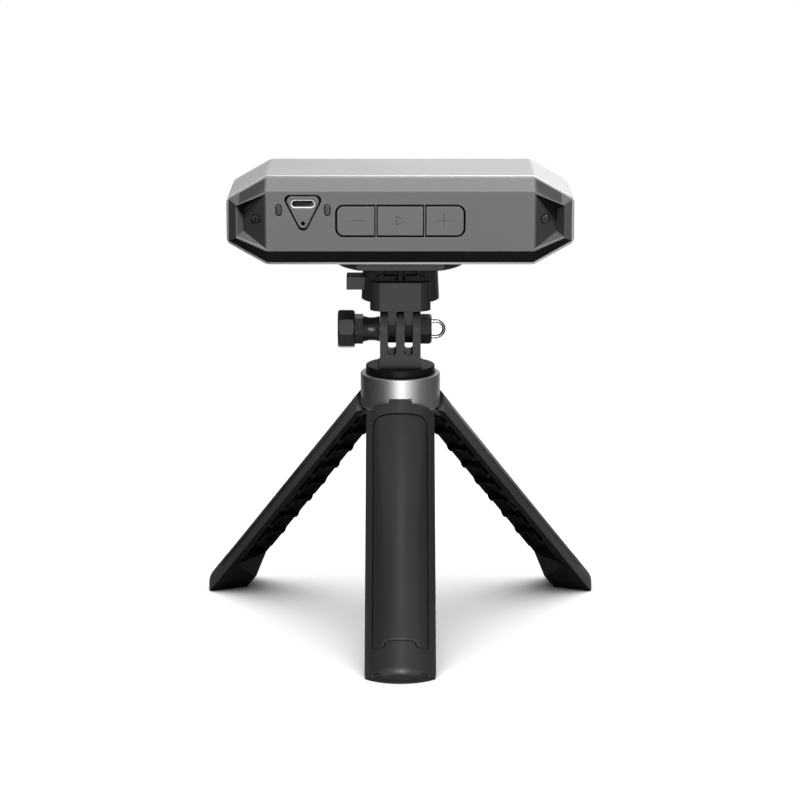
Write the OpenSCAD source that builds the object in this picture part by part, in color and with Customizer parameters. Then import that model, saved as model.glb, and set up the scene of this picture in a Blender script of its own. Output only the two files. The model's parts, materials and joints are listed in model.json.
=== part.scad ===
// Hand-held three-d scanner on a folding mini tripod, in millimetres with +Z up.
// The origin lies on the table, in the middle of the box round the footprint.
// The scanner's keys and port face -Y, and its lenses face +Y.

/* [Scanner housing] */
// Width of the silver band
body_w = 125.4; // [118:0.1:140]
// Height of the silver band
body_h = 32.5; // [31:0.1:38]
// Depth of the silver band
body_d = 42.8; // [42:0.1:52]
// Distance from the tripod axis back to the rear edge of the band
band_rear = 19.2; // [18.5:0.1:20]
// Width of the corner facets
facet_w = 14.4; // [12:0.1:16]
// Height of the corner facets
facet_h = 8.2; // [6:0.1:9]
// Rounding along the band's long edges
band_edge_r = 3; // [2:0.1:4]
// Wall of the band
band_wall = 1.8; // [1.4:0.1:2.2]
// Silver rim left showing round the two covers
rim = 0.8; // [0.5:0.1:1.2]
// Height that the rear cover stands out from the band
cover_rise = 3.3; // [2.8:0.1:4]
// Height of the bevels above and below the rear panel
cover_bevel = 5.4; // [4:0.1:6.5]
// Width of the bevels at the two ends of the rear panel
cover_end_bevel = 3.6; // [3:0.1:4.5]
// Wall of the rear panel
cover_wall = 2.2; // [1.8:0.1:2.6]
// Length that each cover plugs into the band
plug_d = 2.3; // [2:0.1:3]
// Depth of the screw pockets at the ends of the rear panel
pocket_d = 3.9; // [3:0.1:4.2]
// Height that the front bezel stands out from the band
bezel_rise = 1.6; // [1.3:0.1:2.2]

/* [Keys, port and lights] */
// Bare panel between the status light and the row of keys
key_margin = 1.6; // [1:0.1:4]
// Height of the keys
keys_h = 10.4; // [9:0.1:11.5]
// Corner radius of the row of keys
keys_r = 2.4; // [1:0.1:4]
// Groove round the row of keys
key_moat = 0.75; // [0.6:0.05:0.9]
// Width of each divider rib
divider_w = 0.4; // [0.3:0.05:0.6]
// Groove between each key and its divider
key_gap = 0.4; // [0.3:0.05:0.5]
// Travel of a key
key_travel = 0.6; // [0.3:0.05:0.8]
// Distance from the end of the rear panel to the port
port_inset = 13.3; // [12.8:0.1:15]
// Height of the port above the middle of the band
port_up = 6.35; // [5:0.05:7]
// Width of the port's metal shell
port_w = 8.94; // [8.5:0.01:9.4]
// Height of the port's metal shell
port_h = 3.26; // [3:0.01:3.5]
// Width of each status light
light_w = 1.75; // [1.4:0.05:2]
// Height of each status light
light_h = 3.8; // [3:0.05:4.4]
// Distance from the port to each status light
light_x = 8.75; // [8:0.05:9.3]
// Diameter of the shank of a cover screw
cover_screw_d = 1.6; // [1.2:0.1:2]

/* [Optics and boards] */
// Distance from the end of the band to each stereo camera
camera_inset = 24.7; // [22:0.1:28]
// Radius of a stereo camera's barrel
camera_r = 5.6; // [4.5:0.1:6.5]
// Distance from the middle to the colour camera
colour_x = 17; // [15:0.5:19]
// Radius of the colour camera's barrel
colour_r = 4.2; // [3.5:0.1:5]
// Thickness of the optics chassis
chassis_t = 2; // [1.6:0.1:3]
// Thickness of the circuit boards
board_t = 1.2; // [0.8:0.1:1.6]
// Distance from the end of the band to the main board
board_inset = 18.7; // [17:0.1:24]
// Distance from the top of the band to the main board
board_drop = 5.75; // [5:0.05:7]

/* [Quick-release mount] */
// Radius of the plate under the scanner
plate_r = 23.9; // [21:0.1:26]
// Thickness of that plate
plate_h = 2.65; // [2.4:0.05:4]
// Distance from the axis to the plate's two flats
plate_flat = 17.8; // [15:0.1:20]
// Length of the dovetail tongue
tongue_l = 24.8; // [22:0.1:25]
// Half width of the tongue at its foot
tongue_hw = 9; // [8.5:0.1:9.3]
// Half width of the tongue at its neck
neck_hw = 5.9; // [5.7:0.1:6.5]
// Sliding fit of the tongue
tongue_fit = 0.15; // [0.1:0.05:0.25]
// Radius of the cup at its lower edge
cup_r = 14.35; // [14.2:0.05:16]
// Amount that the cup narrows towards its top
cup_taper = 0.6; // [0.3:0.1:0.8]
// Height of the cup
cup_h = 12.8; // [12.4:0.1:14]
// Width of the block in the cup
block_w = 22.2; // [20:0.1:24]
// Depth of the block in the cup
block_d = 28.9; // [28.8:0.1:29.6]
// Height of the block below the cup
block_drop = 2.6; // [2:0.1:4]
// Length of the release tab that stands out of the cup
tab_out = 5.9; // [4:0.1:8]
// Travel of the release tab
latch_travel = 1.2; // [0.8:0.1:1.3]

/* [Tilt joint] */
// Height of the tilt axis above the turning disc
pivot_up = 13.4; // [12.5:0.1:16]
// Height of the block above the tilt axis
block_up = 9.3; // [8.5:0.1:11]
// Width of the three-prong post
post_w = 15; // [14.5:0.1:16]
// Radius of the post's rounded prongs
post_r = 7.2; // [6.5:0.1:7.5]
// Distance from the middle to each slot of the post
slot_x = 3.1; // [3:0.05:3.3]
// Width of each slot of the post
slot_w = 3.1; // [2.9:0.05:3.3]
// Side play of each finger in its slot
finger_play = 0.1; // [0.1:0.05:0.25]
// Radius of the fingers' round ends
finger_r = 5.15; // [4.5:0.05:6]
// Radius of the clamp bolt
bolt_r = 2.45; // [2:0.05:2.6]
// Radius of the knob's eight-sided head
knob_r = 7.28; // [6.5:0.02:8]
// Length of the knob's head
knob_head_l = 6.3; // [5:0.1:8]
// Length of the whole knob
knob_l = 15.5; // [14:0.1:20]
// Radius of the cap nut and of the knob's collar
cap_r = 5.66; // [5.2:0.02:6.2]
// Length of the cap nut
cap_l = 4.1; // [3.6:0.1:5]
// Radius of the tether loop's wire
wire_r = 0.65; // [0.5:0.05:0.8]
// Radius of the tether loop's bend
loop_r = 2.95; // [2.5:0.05:3.4]
// Length of the loop's straight legs outside the cap
loop_leg = 1.6; // [1:0.1:3]

/* [Tripod] */
// Height of the leg hinge pins above the table
hinge_h = 85; // [80:0.1:100]
// Distance from the outside of a folded leg in to its hinge pin
hinge_in = 5.75; // [5.5:0.05:6]
// Angle that each leg opens out from the axis
leg_spread = 40; // [36:1:44]
// Radius of the folded legs and of the collar above them
leg_r = 14.75; // [14.5:0.05:15.2]
// Wall of a leg
leg_wall = 2.15; // [1.8:0.05:2.6]
// Gap between neighbouring legs when they are folded together
leg_gap = 0.5; // [0.4:0.1:0.8]
// Distance from the hinge pin down to the shoulder of a leg
shoulder_drop = 4.1; // [3.9:0.05:4.4]
// Radius of a hinge pin
pin_r = 1.25; // [1:0.05:1.5]
// Width of a leg's hinge tab
tab_w = 7.8; // [7:0.1:8.2]
// Amount that the toe is cut back from the line of the leg
toe_back = 4.45; // [3.5:0.01:6]
// Radius of the toe seen from above
toe_r = 18; // [17:0.1:20]
// Rounding from the leg down into the toe
toe_fillet = 6; // [4:0.5:8]
// Thickness of the rubber sole
sole_t = 1; // [0.8:0.1:1.8]
// Height of the rubber lip at the toe
toe_lip_h = 3.5; // [3:0.1:4.5]
// Half width of a grip pad
grip_hw = 9.9; // [8:0.1:10.5]
// Thickness of a grip pad
grip_t = 1.2; // [0.8:0.1:1.3]
// Number of ribs along each side of a leg
rib_n = 8; // [4:1:8]
// Height of the silver collar
collar_h = 12.7; // [12.5:0.1:16]
// Wall of the silver collar
collar_wall = 2.2; // [2:0.1:2.4]
// Step from the collar in to the turning disc
disc_step = 1.95; // [1.2:0.05:2.8]
// Thickness of the turning disc
disc_h = 2.7; // [2:0.1:4]

/* [Hidden] */
$fn = 96;

// Fits shared by all the pieces
seat_fit = 0.05;
slide_fit = 0.1;
run_fit = 0.06;
press_fit = 0.02;
turn_gap = 0.1;
part_gap = 0.3;
arc_lap = 0.003;
cut = 1;
far = 200;

// Heights up the tripod, from the table to the scanner
leg_count = 3;
hinge_r = leg_r - hinge_in;
disc_r = leg_r - disc_step;
leg_turn = 360 / leg_count;
leg_top = hinge_h - shoulder_drop;
collar_z = leg_top + part_gap;
collar_top = collar_z + collar_h;
disc_z = collar_top + turn_gap;
disc_top = disc_z + disc_h;
pivot_z = disc_top + pivot_up;
block_z = pivot_z + block_up;
cup_z = block_z + block_drop;
cup_top = cup_z + cup_h;
plate_z = cup_top + part_gap;
body_z = plate_z + plate_h;
body_mid = body_z + body_h / 2;

// Places along the scanner's depth
band_y0 = -band_rear;
band_y1 = body_d - band_rear;
panel_y = band_y0 - cover_rise;
panel_in = panel_y + cover_wall;
plug_y = band_y0 + plug_d;
bezel_y = band_y1 + bezel_rise;

// Footprint: the toe's arc in front and the corners of the rear toes behind
leg_line = hinge_r + hinge_h * tan(leg_spread) + (leg_r - hinge_r) / cos(leg_spread);
foot_reach = leg_line - toe_back;
toe_c = foot_reach - toe_r;
side_half = leg_turn / 2;
edge_turn = side_half - asin(leg_gap / 2 / leg_r);
edge_half = leg_r * sin(edge_turn);
rear_reach = cos(side_half) * (toe_c + sqrt(toe_r * toe_r - edge_half * edge_half))
    + sin(side_half) * edge_half;
axis_y = (foot_reach - rear_reach) / 2;

// Helpers for placing and extruding
module on_axis() translate([0, axis_y, 0]) children();
module at_body(x = 0, up = 0) on_axis() translate([x, 0, body_mid + up]) children();
module along_y(y0, y1) translate([0, y1, 0]) rotate([90, 0, 0]) linear_extrude(y1 - y0) children();
module along_x(x0, x1) translate([x0, 0, 0]) rotate([90, 0, 90]) linear_extrude(x1 - x0) children();
module rod_y(r, y0, y1) translate([0, y1, 0]) rotate([90, 0, 0]) cylinder(h = y1 - y0, r = r);
module rod_x(r, x0, x1) translate([x0, 0, 0]) rotate([0, 90, 0]) cylinder(h = x1 - x0, r = r);
module mirrored() {
    children();
    mirror([1, 0, 0]) children();
}

// Polygon with every corner rounded to radius r, for outlines with no inward corner
function toward(a, b) = (b - a) / norm(b - a);
function before(p, i) = toward(p[i], p[(i + len(p) - 1) % len(p)]);
function after(p, i) = toward(p[i], p[(i + 1) % len(p)]);
function half_corner(p, i) = acos(before(p, i) * after(p, i)) / 2;
function arc_centre(p, i, r) = p[i] + (before(p, i) + after(p, i))
    / norm(before(p, i) + after(p, i)) * r / sin(half_corner(p, i));
function chords(p, r) = [for (i = [0 : len(p) - 1], side = [before(p, i), after(p, i)])
    p[i] + side * r / tan(half_corner(p, i))];
module soft_polygon(p, r) {
    polygon(chords(p, r));
    for (i = [0 : len(p) - 1]) translate(arc_centre(p, i, r)) circle(r + arc_lap);
}
function rect(w, h) = [[-w, -h] / 2, [w, -h] / 2, [w, h] / 2, [-w, h] / 2];
module stadium(w, h) {
    r = min(w, h) / 2;
    square([w > h ? w - h : w, w > h ? h : h - w], center = true);
    for (s = [-1, 1]) translate(w > h ? [s * (w - h) / 2, 0] : [0, s * (h - w) / 2]) circle(r);
}

// The band's eight-sided outline, set in by d on every side
facet_l = norm([facet_w, facet_h]);
facet_nx = facet_h / facet_l;
facet_nz = facet_w / facet_l;
function octagon(d) = let (
    hx = body_w / 2 - d,
    hz = body_h / 2 - d,
    c = facet_nx * body_w / 2 + facet_nz * (body_h / 2 - facet_h) - d,
    x = (c - facet_nz * hz) / facet_nx,
    z = (c - facet_nx * hx) / facet_nz)
    [[x, hz], [hx, z], [hx, -z], [x, -hz], [-x, -hz], [-hx, -z], [-hx, z], [-x, hz]];

// Upright slab of that outline with rounded corners
module octagon_slab(d, r, y0, y1) {
    p = octagon(d);
    along_y(y0, y1) polygon(chords(p, r));
    for (i = [0 : len(p) - 1]) translate([arc_centre(p, i, r)[0], 0, arc_centre(p, i, r)[1]])
        rod_y(r + arc_lap, y0, y1);
}

// Rear panel and the pocket at each of its ends
panel_hw = body_w / 2 - facet_w;
panel_hh = body_h / 2 - cover_bevel;
light_gap = 0.3;
port_x = panel_hw - port_inset;
keys_w = 2 * (port_x - light_x - light_w / 2 - light_gap - key_margin - key_moat);
middle_share = 0.385;
divider_x = keys_w / 2 * middle_share;
panel_end = body_w / 2 - cover_end_bevel;
end_drop = 2;
panel_end_hh = body_h / 2 - facet_h - end_drop;
pocket_lip = 0.8;
pocket_run = 2.4;
pocket_floor_hh = 4;
screw_x = panel_hw + 3.9;
screw_up = 0.6;
screw_head_r = 1.6;
screw_head_h = 1.2;
screw_seat_y = band_y0 - 0.2;
post_r_cover = 2.6;
cover_hollow_hw = panel_hw - 2;
plug_inset = band_wall + slide_fit;
plug_corner_r = band_edge_r / 2;
hollow_hh = body_h / 2 - plug_inset - cover_wall;

module loft(outer, y0, inner, y1) {
    sheet = 0.02;
    hull() {
        along_y(min(y0, y0 + sign(y1 - y0) * sheet), max(y0, y0 + sign(y1 - y0) * sheet)) polygon(outer);
        along_y(min(y1, y1 - sign(y1 - y0) * sheet), max(y1, y1 - sign(y1 - y0) * sheet)) polygon(inner);
    }
}

module band_shell() color("gainsboro") on_axis() difference() {
    translate([0, 0, body_mid]) octagon_slab(0, band_edge_r, band_y0, band_y1);
    translate([0, 0, body_mid]) octagon_slab(band_wall, plug_corner_r - slide_fit, band_y0 - cut, band_y1 + cut);
    translate([0, 0, body_z - cut]) cylinder(h = band_wall + 2 * cut, r = bush_r + press_fit);
}

panel = [[panel_hw, panel_hh], [panel_end, panel_end_hh], [panel_end, -panel_end_hh],
    [panel_hw, -panel_hh], [-panel_hw, -panel_hh], [-panel_end, -panel_end_hh],
    [-panel_end, panel_end_hh], [-panel_hw, panel_hh]];

module end_pocket() {
    reach = 1.25;
    floor_p = [panel_end - pocket_run, panel_y + pocket_d, pocket_floor_hh];
    mouth = [[panel_hw, panel_y, panel_hh - pocket_lip], [panel_end, panel_y, panel_end_hh - pocket_lip / 2]];
    half = concat([for (p = mouth) floor_p + reach * (p - floor_p)], [floor_p]);
    polyhedron(concat(half, [for (p = half) [p[0], p[1], -p[2]]]),
        [[2, 1, 0], [4, 5, 3], [1, 4, 3, 0], [2, 5, 4, 1], [0, 3, 5, 2]]);
}

// Rounded triangle engraved round the port, and the small hole in it
mark_top = 9.65;
mark_foot = -5.85;
mark_hw = 7.9;
mark_r = 2;
mark_w = 0.6;
mark_d = 1;
pin_hole_r = 0.75;
pin_hole_up = -0.75;
light_up = 4.1;
function mark(d) = [[-mark_hw + d * 1.9, mark_top - d], [mark_hw - d * 1.9, mark_top - d],
    [0, mark_foot + d * 2.2]];

// Keys: outline of key i, one of -1, 0 and 1, grown by g round the row and by d at the dividers
keys_up = 0.15;
module key_outline(i, g, d) {
    inner = divider_x - divider_w / 2 - key_gap + d;
    outer = divider_x + divider_w / 2 + key_gap - d;
    intersection() {
        soft_polygon(rect(keys_w + 2 * g, keys_h + 2 * g), keys_r + g);
        if (i == 0) square([2 * inner, far], center = true);
        if (i != 0) translate([i * (outer + far / 2), 0]) square([far, far], center = true);
    }
}
key_proud = 0.1;
key_lip = key_moat + 0.4;
key_lip_in = key_gap + 0.1;
key_lip_t = 0.8;
key_lip_y = panel_in + slide_fit;
key_back = key_lip_y + key_lip_t;
icon_d = 0.25;
icon_l = 5;
icon_w = 0.4;
play_l = 3.4;
key_x = divider_x + (keys_w / 2 - divider_x) / 2;

module key(i) color("dimgray") at_body(0, keys_up) difference() {
    union() {
        along_y(panel_y - key_proud, key_back) key_outline(i, 0, 0);
        along_y(key_lip_y, key_back) key_outline(i, key_lip, key_lip_in);
    }
    translate([i * key_x, 0, 0]) along_y(panel_y - cut, panel_y - key_proud + icon_d) key_icon(i);
}
module key_icon(i) {
    if (i != 0) square([icon_l, icon_w], center = true);
    if (i > 0) square([icon_w, icon_l], center = true);
    if (i == 0) difference() {
        soft_polygon(play_mark(play_l), icon_w);
        soft_polygon(play_mark(play_l - 2.6 * icon_w), icon_w / 2);
    }
}
function play_mark(l) = [[-l / 2, -l * 0.58], [l * 0.62, 0], [-l / 2, l * 0.58]];
module key_minus() key(-1);
module key_play() key(0);
module key_plus() key(1);

// Boards behind the rear cover
port_l = 7;
port_y0 = panel_y + 0.1;
port_board_y = port_y0 + port_l;
board_edge = 0.6;
port_board_x0 = -cover_hollow_hw + board_edge;
stake_x = keys_w / 2 + key_lip + 2;
stake_r = 1.2;
port_board_x1 = stake_x + stake_r + board_edge;
port_board_low = 5.4;
port_board_top = hollow_hh - board_edge;
stake_up = port_board_top - stake_r - board_edge;
stakes = [[-stake_x / 2, stake_up], [stake_x / 2, stake_up], [stake_x, 3.5 - port_board_low],
    [port_board_x0 + stake_r + board_edge, stake_r + board_edge - port_board_low]];

module rear_cover() color("dimgray") on_axis() difference() {
    translate([0, 0, body_mid]) {
        difference() {
            union() {
                loft(octagon(rim), band_y0, panel, panel_y);
                octagon_slab(plug_inset, plug_corner_r, band_y0 - press_fit, plug_y);
            }
            along_y(panel_in, plug_y + cut) square([2 * cover_hollow_hw, 2 * hollow_hh], center = true);
            mirrored() end_pocket();
            mirrored() translate([screw_x, 0, screw_up]) {
                rod_y(screw_head_r + slide_fit, panel_y - cut, screw_seat_y);
                rod_y(cover_screw_d / 2 + slide_fit, panel_y, plug_y + cut);
            }
            translate([0, 0, keys_up]) along_y(panel_y - cut, panel_in + cut) for (i = [-1 : 1])
                key_outline(i, key_moat, key_gap);
            translate([-port_x, 0, 0]) {
                translate([0, 0, port_up]) along_y(panel_y - cut, panel_in + cut)
                    stadium(port_w + 2 * slide_fit, port_h + 2 * slide_fit);
                along_y(panel_y - cut, panel_y + mark_d) difference() {
                    soft_polygon(mark(0), mark_r);
                    soft_polygon(mark(mark_w), mark_r - mark_w / 2);
                }
                translate([0, 0, pin_hole_up]) rod_y(pin_hole_r, panel_y - cut, panel_in + cut);
                mirrored() translate([light_x, 0, light_up]) along_y(panel_y - cut, panel_in + cut)
                    stadium(light_w + 2 * light_gap, light_h + 2 * light_gap);
            }
        }
        for (p = stakes) translate([p[0], 0, p[1]]) rod_y(stake_r, panel_in - press_fit, port_board_y);
    }
}

module cover_screws() color("gray") at_body(0, screw_up) mirrored() translate([screw_x, 0, 0]) difference() {
    union() {
        rod_y(screw_head_r, screw_seat_y - screw_head_h, screw_seat_y);
        rod_y(cover_screw_d / 2, screw_seat_y - press_fit, plug_y + screw_bite);
    }
    for (turn = [0, 90]) rotate([0, turn, 0]) translate([0, screw_seat_y - screw_head_h, 0])
        cube([2 * screw_head_r - 1, 1.2, 0.45], center = true);
}
screw_bite = 6;

// Three tact switches on the port board
switch_s = 6;
switch_h = 2.4;
plunger_r = 1.6;
module key_switches() color("black") at_body(0, keys_up) for (i = [-1 : 1]) translate([i * key_x, 0, 0]) {
    translate([0, port_board_y - switch_h / 2, 0]) cube([switch_s, switch_h, switch_s], center = true);
    rod_y(plunger_r, key_back + key_travel + slide_fit, port_board_y - switch_h + press_fit);
}

module port_board() color("darkgreen") at_body() along_y(port_board_y, port_board_y + board_t)
    translate([port_board_x0, -port_board_low])
    square([port_board_x1 - port_board_x0, port_board_low + port_board_top]);

port_wall = 0.45;
port_back = 1;
module port_shell() color("silver") at_body(-port_x, port_up) difference() {
    along_y(port_y0, port_board_y) stadium(port_w, port_h);
    along_y(port_y0 - cut, port_board_y - port_back)
        stadium(port_w - 2 * port_wall, port_h - 2 * port_wall);
}
tongue_in = 0.6;
tongue_up = 0.15;
module port_tongue() color("black") at_body(-port_x, port_up)
    along_y(port_y0 + tongue_in, port_board_y - port_back)
    translate([0, tongue_up]) square([port_w - port_h + 0.8, 0.9], center = true);

module status_lights() color("darkslategray") at_body(-port_x, light_up) mirrored()
    translate([light_x, 0, 0]) along_y(panel_y, port_board_y)
    stadium(light_w, light_h);

// Main board on four posts of the optics chassis
optics_d = 15.6;
board_gap = 14;
board_w = body_w - 2 * board_inset;
board_h = body_h - 2 * board_drop;
chassis_y = band_y1 - optics_d;
board_y = chassis_y - board_gap;
board_back = board_y + board_t;
chip_s = 14;
chip_h = 1.2;
post_in = 4;
post_x = board_w / 2 - post_in;
post_up = board_h / 2 - post_in + board_edge;
board_post_r = 2;
board_screw_r = 0.8;
board_head_r = 1.7;
board_head_h = 1.1;
board_bite = 5;
module at_board_posts() for (x = [-1, 1], z = [-1, 1]) translate([x * post_x, 0, z * post_up]) children();
module main_board() color("green") at_body() difference() {
    union() {
        along_y(board_y, board_back) square([board_w, board_h], center = true);
        along_y(board_back - press_fit, board_back + chip_h) square(chip_s, center = true);
        translate([chip_s * 1.6, 0, 0]) along_y(board_y - 1, board_y + press_fit) square(chip_s / 2, center = true);
        translate([-chip_s * 1.9, 0, 0]) along_y(board_y - 1, board_y + press_fit) square(chip_s / 2, center = true);
    }
    at_board_posts() rod_y(board_screw_r + slide_fit, board_y - cut, board_back + cut);
}
module board_screws() color("gray") at_body() at_board_posts() {
    rod_y(board_head_r, board_y - board_head_h, board_y);
    rod_y(board_screw_r, board_y - press_fit, board_back + board_bite);
}
flex_w = 10;
flex_t = 0.3;
module flex_cable() color("orange") at_body(divider_x, -port_board_low / 2)
    along_y(port_board_y + board_t, board_y) square([flex_w, flex_t], center = true);

sink_w = 32;
sink_fins = 7;
sink_base = 2;
module heat_sink() color("slategray") at_body() difference() {
    along_y(board_back + chip_h, chassis_y) square([sink_w, chip_s], center = true);
    for (k = [0.5 : sink_fins - 1]) translate([(k - (sink_fins - 1) / 2) * sink_w / sink_fins, 0, 0])
        along_y(board_back + chip_h + sink_base, chassis_y - sink_base)
        square([sink_w / sink_fins / 2, chip_s + cut], center = true);
}

// Optics chassis, a plate across the band with posts for the boards and the cover screws
chassis_front = chassis_y + chassis_t;
module chassis() color("silver") at_body() difference() {
    union() {
        octagon_slab(plug_inset, plug_corner_r, chassis_y, chassis_front);
        at_board_posts() rod_y(board_post_r, board_back, chassis_y + press_fit);
        mirrored() translate([screw_x, 0, screw_up]) rod_y(post_r_cover, plug_y + slide_fit, chassis_y + press_fit);
    }
    at_board_posts() rod_y(board_screw_r + press_fit, board_back - cut, board_back + board_bite + cut);
    mirrored() translate([screw_x, 0, screw_up])
        rod_y(cover_screw_d / 2 + press_fit, plug_y, plug_y + screw_bite + cut);
}

lens_back = 3;
glass_t = 1.2;
camera_x = body_w / 2 - camera_inset;
barrel_y = bezel_y - glass_t - 1.2;
module optic(r, half) difference() {
    union() {
        along_y(chassis_front, chassis_front + 4) square(2 * half, center = true);
        rod_y(r, chassis_front + 4 - press_fit, barrel_y);
    }
    rod_y(r - 1.2, barrel_y - lens_back, barrel_y + cut);
}
module left_camera() color("black") at_body(-camera_x) optic(camera_r, camera_r + 1);
module right_camera() color("black") at_body(camera_x) optic(camera_r, camera_r + 1);
module colour_camera() color("black") at_body(colour_x) optic(colour_r, colour_r + 0.8);
projector_r = 6.4;
projector_s = 15;
module projector() color("black") at_body() optic(projector_r, projector_s / 2);
module lens(r) intersection() {
    rod_y(r - 1.2 - seat_fit, barrel_y - lens_back, barrel_y);
    translate([0, barrel_y - lens_back - r * 2 + lens_back - 0.3, 0]) sphere(r * 2);
}
module lens_glass() color("midnightblue") {
    for (s = [-1, 1]) at_body(s * camera_x) lens(camera_r);
    at_body(colour_x) lens(colour_r);
    at_body() lens(projector_r);
}
fill_x = (camera_x - camera_r + colour_x + colour_r) / 2;
fill_s = 5;
fill_d = 10;
module fill_lights() color("ivory") for (s = [-1, 1]) at_body(s * fill_x) {
    along_y(chassis_front, chassis_front + fill_d) square(fill_s, center = true);
    rod_y(fill_s / 2 - 0.4, chassis_front + fill_d - press_fit, barrel_y - 1);
}

// Front bezel and its window
window_edge = 10.4;
window_w = body_w - 2 * window_edge;
window_h = body_h - 2 * cover_bevel - 2;
window_r = 5;
ledge = 1.6;
front_face = [for (p = octagon(rim + bezel_rise)) p];
module front_bezel() color("black") at_body() difference() {
    union() {
        loft(octagon(rim), band_y1, front_face, bezel_y);
        octagon_slab(plug_inset, plug_corner_r, band_y1 - plug_d, band_y1 + press_fit);
    }
    along_y(bezel_y - glass_t, bezel_y + cut) soft_polygon(rect(window_w, window_h), window_r);
    along_y(band_y1 - plug_d - cut, bezel_y + cut)
        soft_polygon(rect(window_w - 2 * ledge, window_h - 2 * ledge), window_r - ledge);
}
module front_glass() color("black", 0.6) at_body() along_y(bezel_y - glass_t, bezel_y - press_fit)
    soft_polygon(rect(window_w - 2 * slide_fit, window_h - 2 * slide_fit), window_r - slide_fit);

// Threaded bush in the floor of the band
bush_r = 4.4;
bush_flange_r = 6;
bush_flange_h = 1.4;
bush_h = 7;
thread_r = 2.95;
module tripod_bush() color("goldenrod") on_axis() difference() {
    union() {
        translate([0, 0, body_z]) cylinder(h = bush_h, r = bush_r);
        translate([0, 0, body_z + band_wall]) cylinder(h = bush_flange_h, r = bush_flange_r);
    }
    translate([0, 0, body_z - cut]) cylinder(h = bush_h, r = thread_r + seat_fit);
}

// Quick-release plate: flange, dovetail tongue and the recess for its pad
pad_h = 0.8;
pad_inset = 2.4;
flange_chamfer = 0.8;
tongue_h = 5;
tongue_z = plate_z - tongue_h;
tongue_step = 1.7;
tongue_slope = 1.7;
screw_cap_r = 5.2;
screw_cap_h = 2.6;
function tongue(g) = [[-tongue_hw - g, tongue_z - g], [tongue_hw + g, tongue_z - g],
    [tongue_hw + g, tongue_z + tongue_step], [neck_hw + g, tongue_z + tongue_step + tongue_slope],
    [neck_hw + g, plate_z + cut / 2], [-neck_hw - g, plate_z + cut / 2],
    [-neck_hw - g, tongue_z + tongue_step + tongue_slope], [-tongue_hw - g, tongue_z + tongue_step]];
module flange(r, flat, z0, z1, chamfer) intersection() {
    translate([0, 0, z0]) rotate_extrude()
        polygon([[0, 0], [r - chamfer, 0], [r, chamfer], [r, z1 - z0], [0, z1 - z0]]);
    translate([-far / 2, -flat, z0 - cut]) cube([far, 2 * flat, z1 - z0 + 2 * cut]);
}
end_recess = 2;
end_block_w = 4.2;
end_block_x = 3.8;
end_rib_w = 1.9;
module release_plate() color("dimgray") on_axis() difference() {
    union() {
        flange(plate_r, plate_flat, plate_z, body_z, flange_chamfer);
        along_y(-tongue_l / 2, tongue_l / 2) polygon(tongue(0));
    }
    flange(plate_r - pad_inset, plate_flat - pad_inset, body_z - pad_h, body_z + cut, 0);
    translate([0, 0, tongue_z - cut]) cylinder(h = plate_h + far / 10, r = thread_r + slide_fit);
    translate([0, 0, tongue_z - cut]) cylinder(h = screw_cap_h + 0.4 + cut, r = screw_cap_r + slide_fit);
    along_y(-tongue_l / 2 - cut, -tongue_l / 2 + end_recess) difference() {
        translate([-neck_hw, tongue_z + 0.5]) square([2 * neck_hw, tongue_step + tongue_slope]);
        translate([-end_rib_w / 2, tongue_z]) square([end_rib_w, 2 * tongue_slope + tongue_step]);
        for (s = [-1, 1]) translate([s * end_block_x - end_block_w / 2, tongue_z])
            square([end_block_w, tongue_step + 0.6]);
    }
}
module plate_pad() color("black") on_axis() difference() {
    flange(plate_r - pad_inset - slide_fit, plate_flat - pad_inset - slide_fit, body_z - pad_h, body_z, 0);
    translate([0, 0, body_z - pad_h - cut]) cylinder(h = pad_h + 2 * cut, r = thread_r + 2 * slide_fit);
}
module plate_screw() color("silver") on_axis() difference() {
    union() {
        translate([0, 0, tongue_z + 0.4]) cylinder(h = screw_cap_h, r = screw_cap_r);
        translate([0, 0, tongue_z + 0.4]) cylinder(h = body_z - tongue_z + bush_h - 3, r = thread_r);
    }
    translate([-far / 2, -0.6, tongue_z]) cube([far, 1.2, 1.4]);
}

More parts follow.
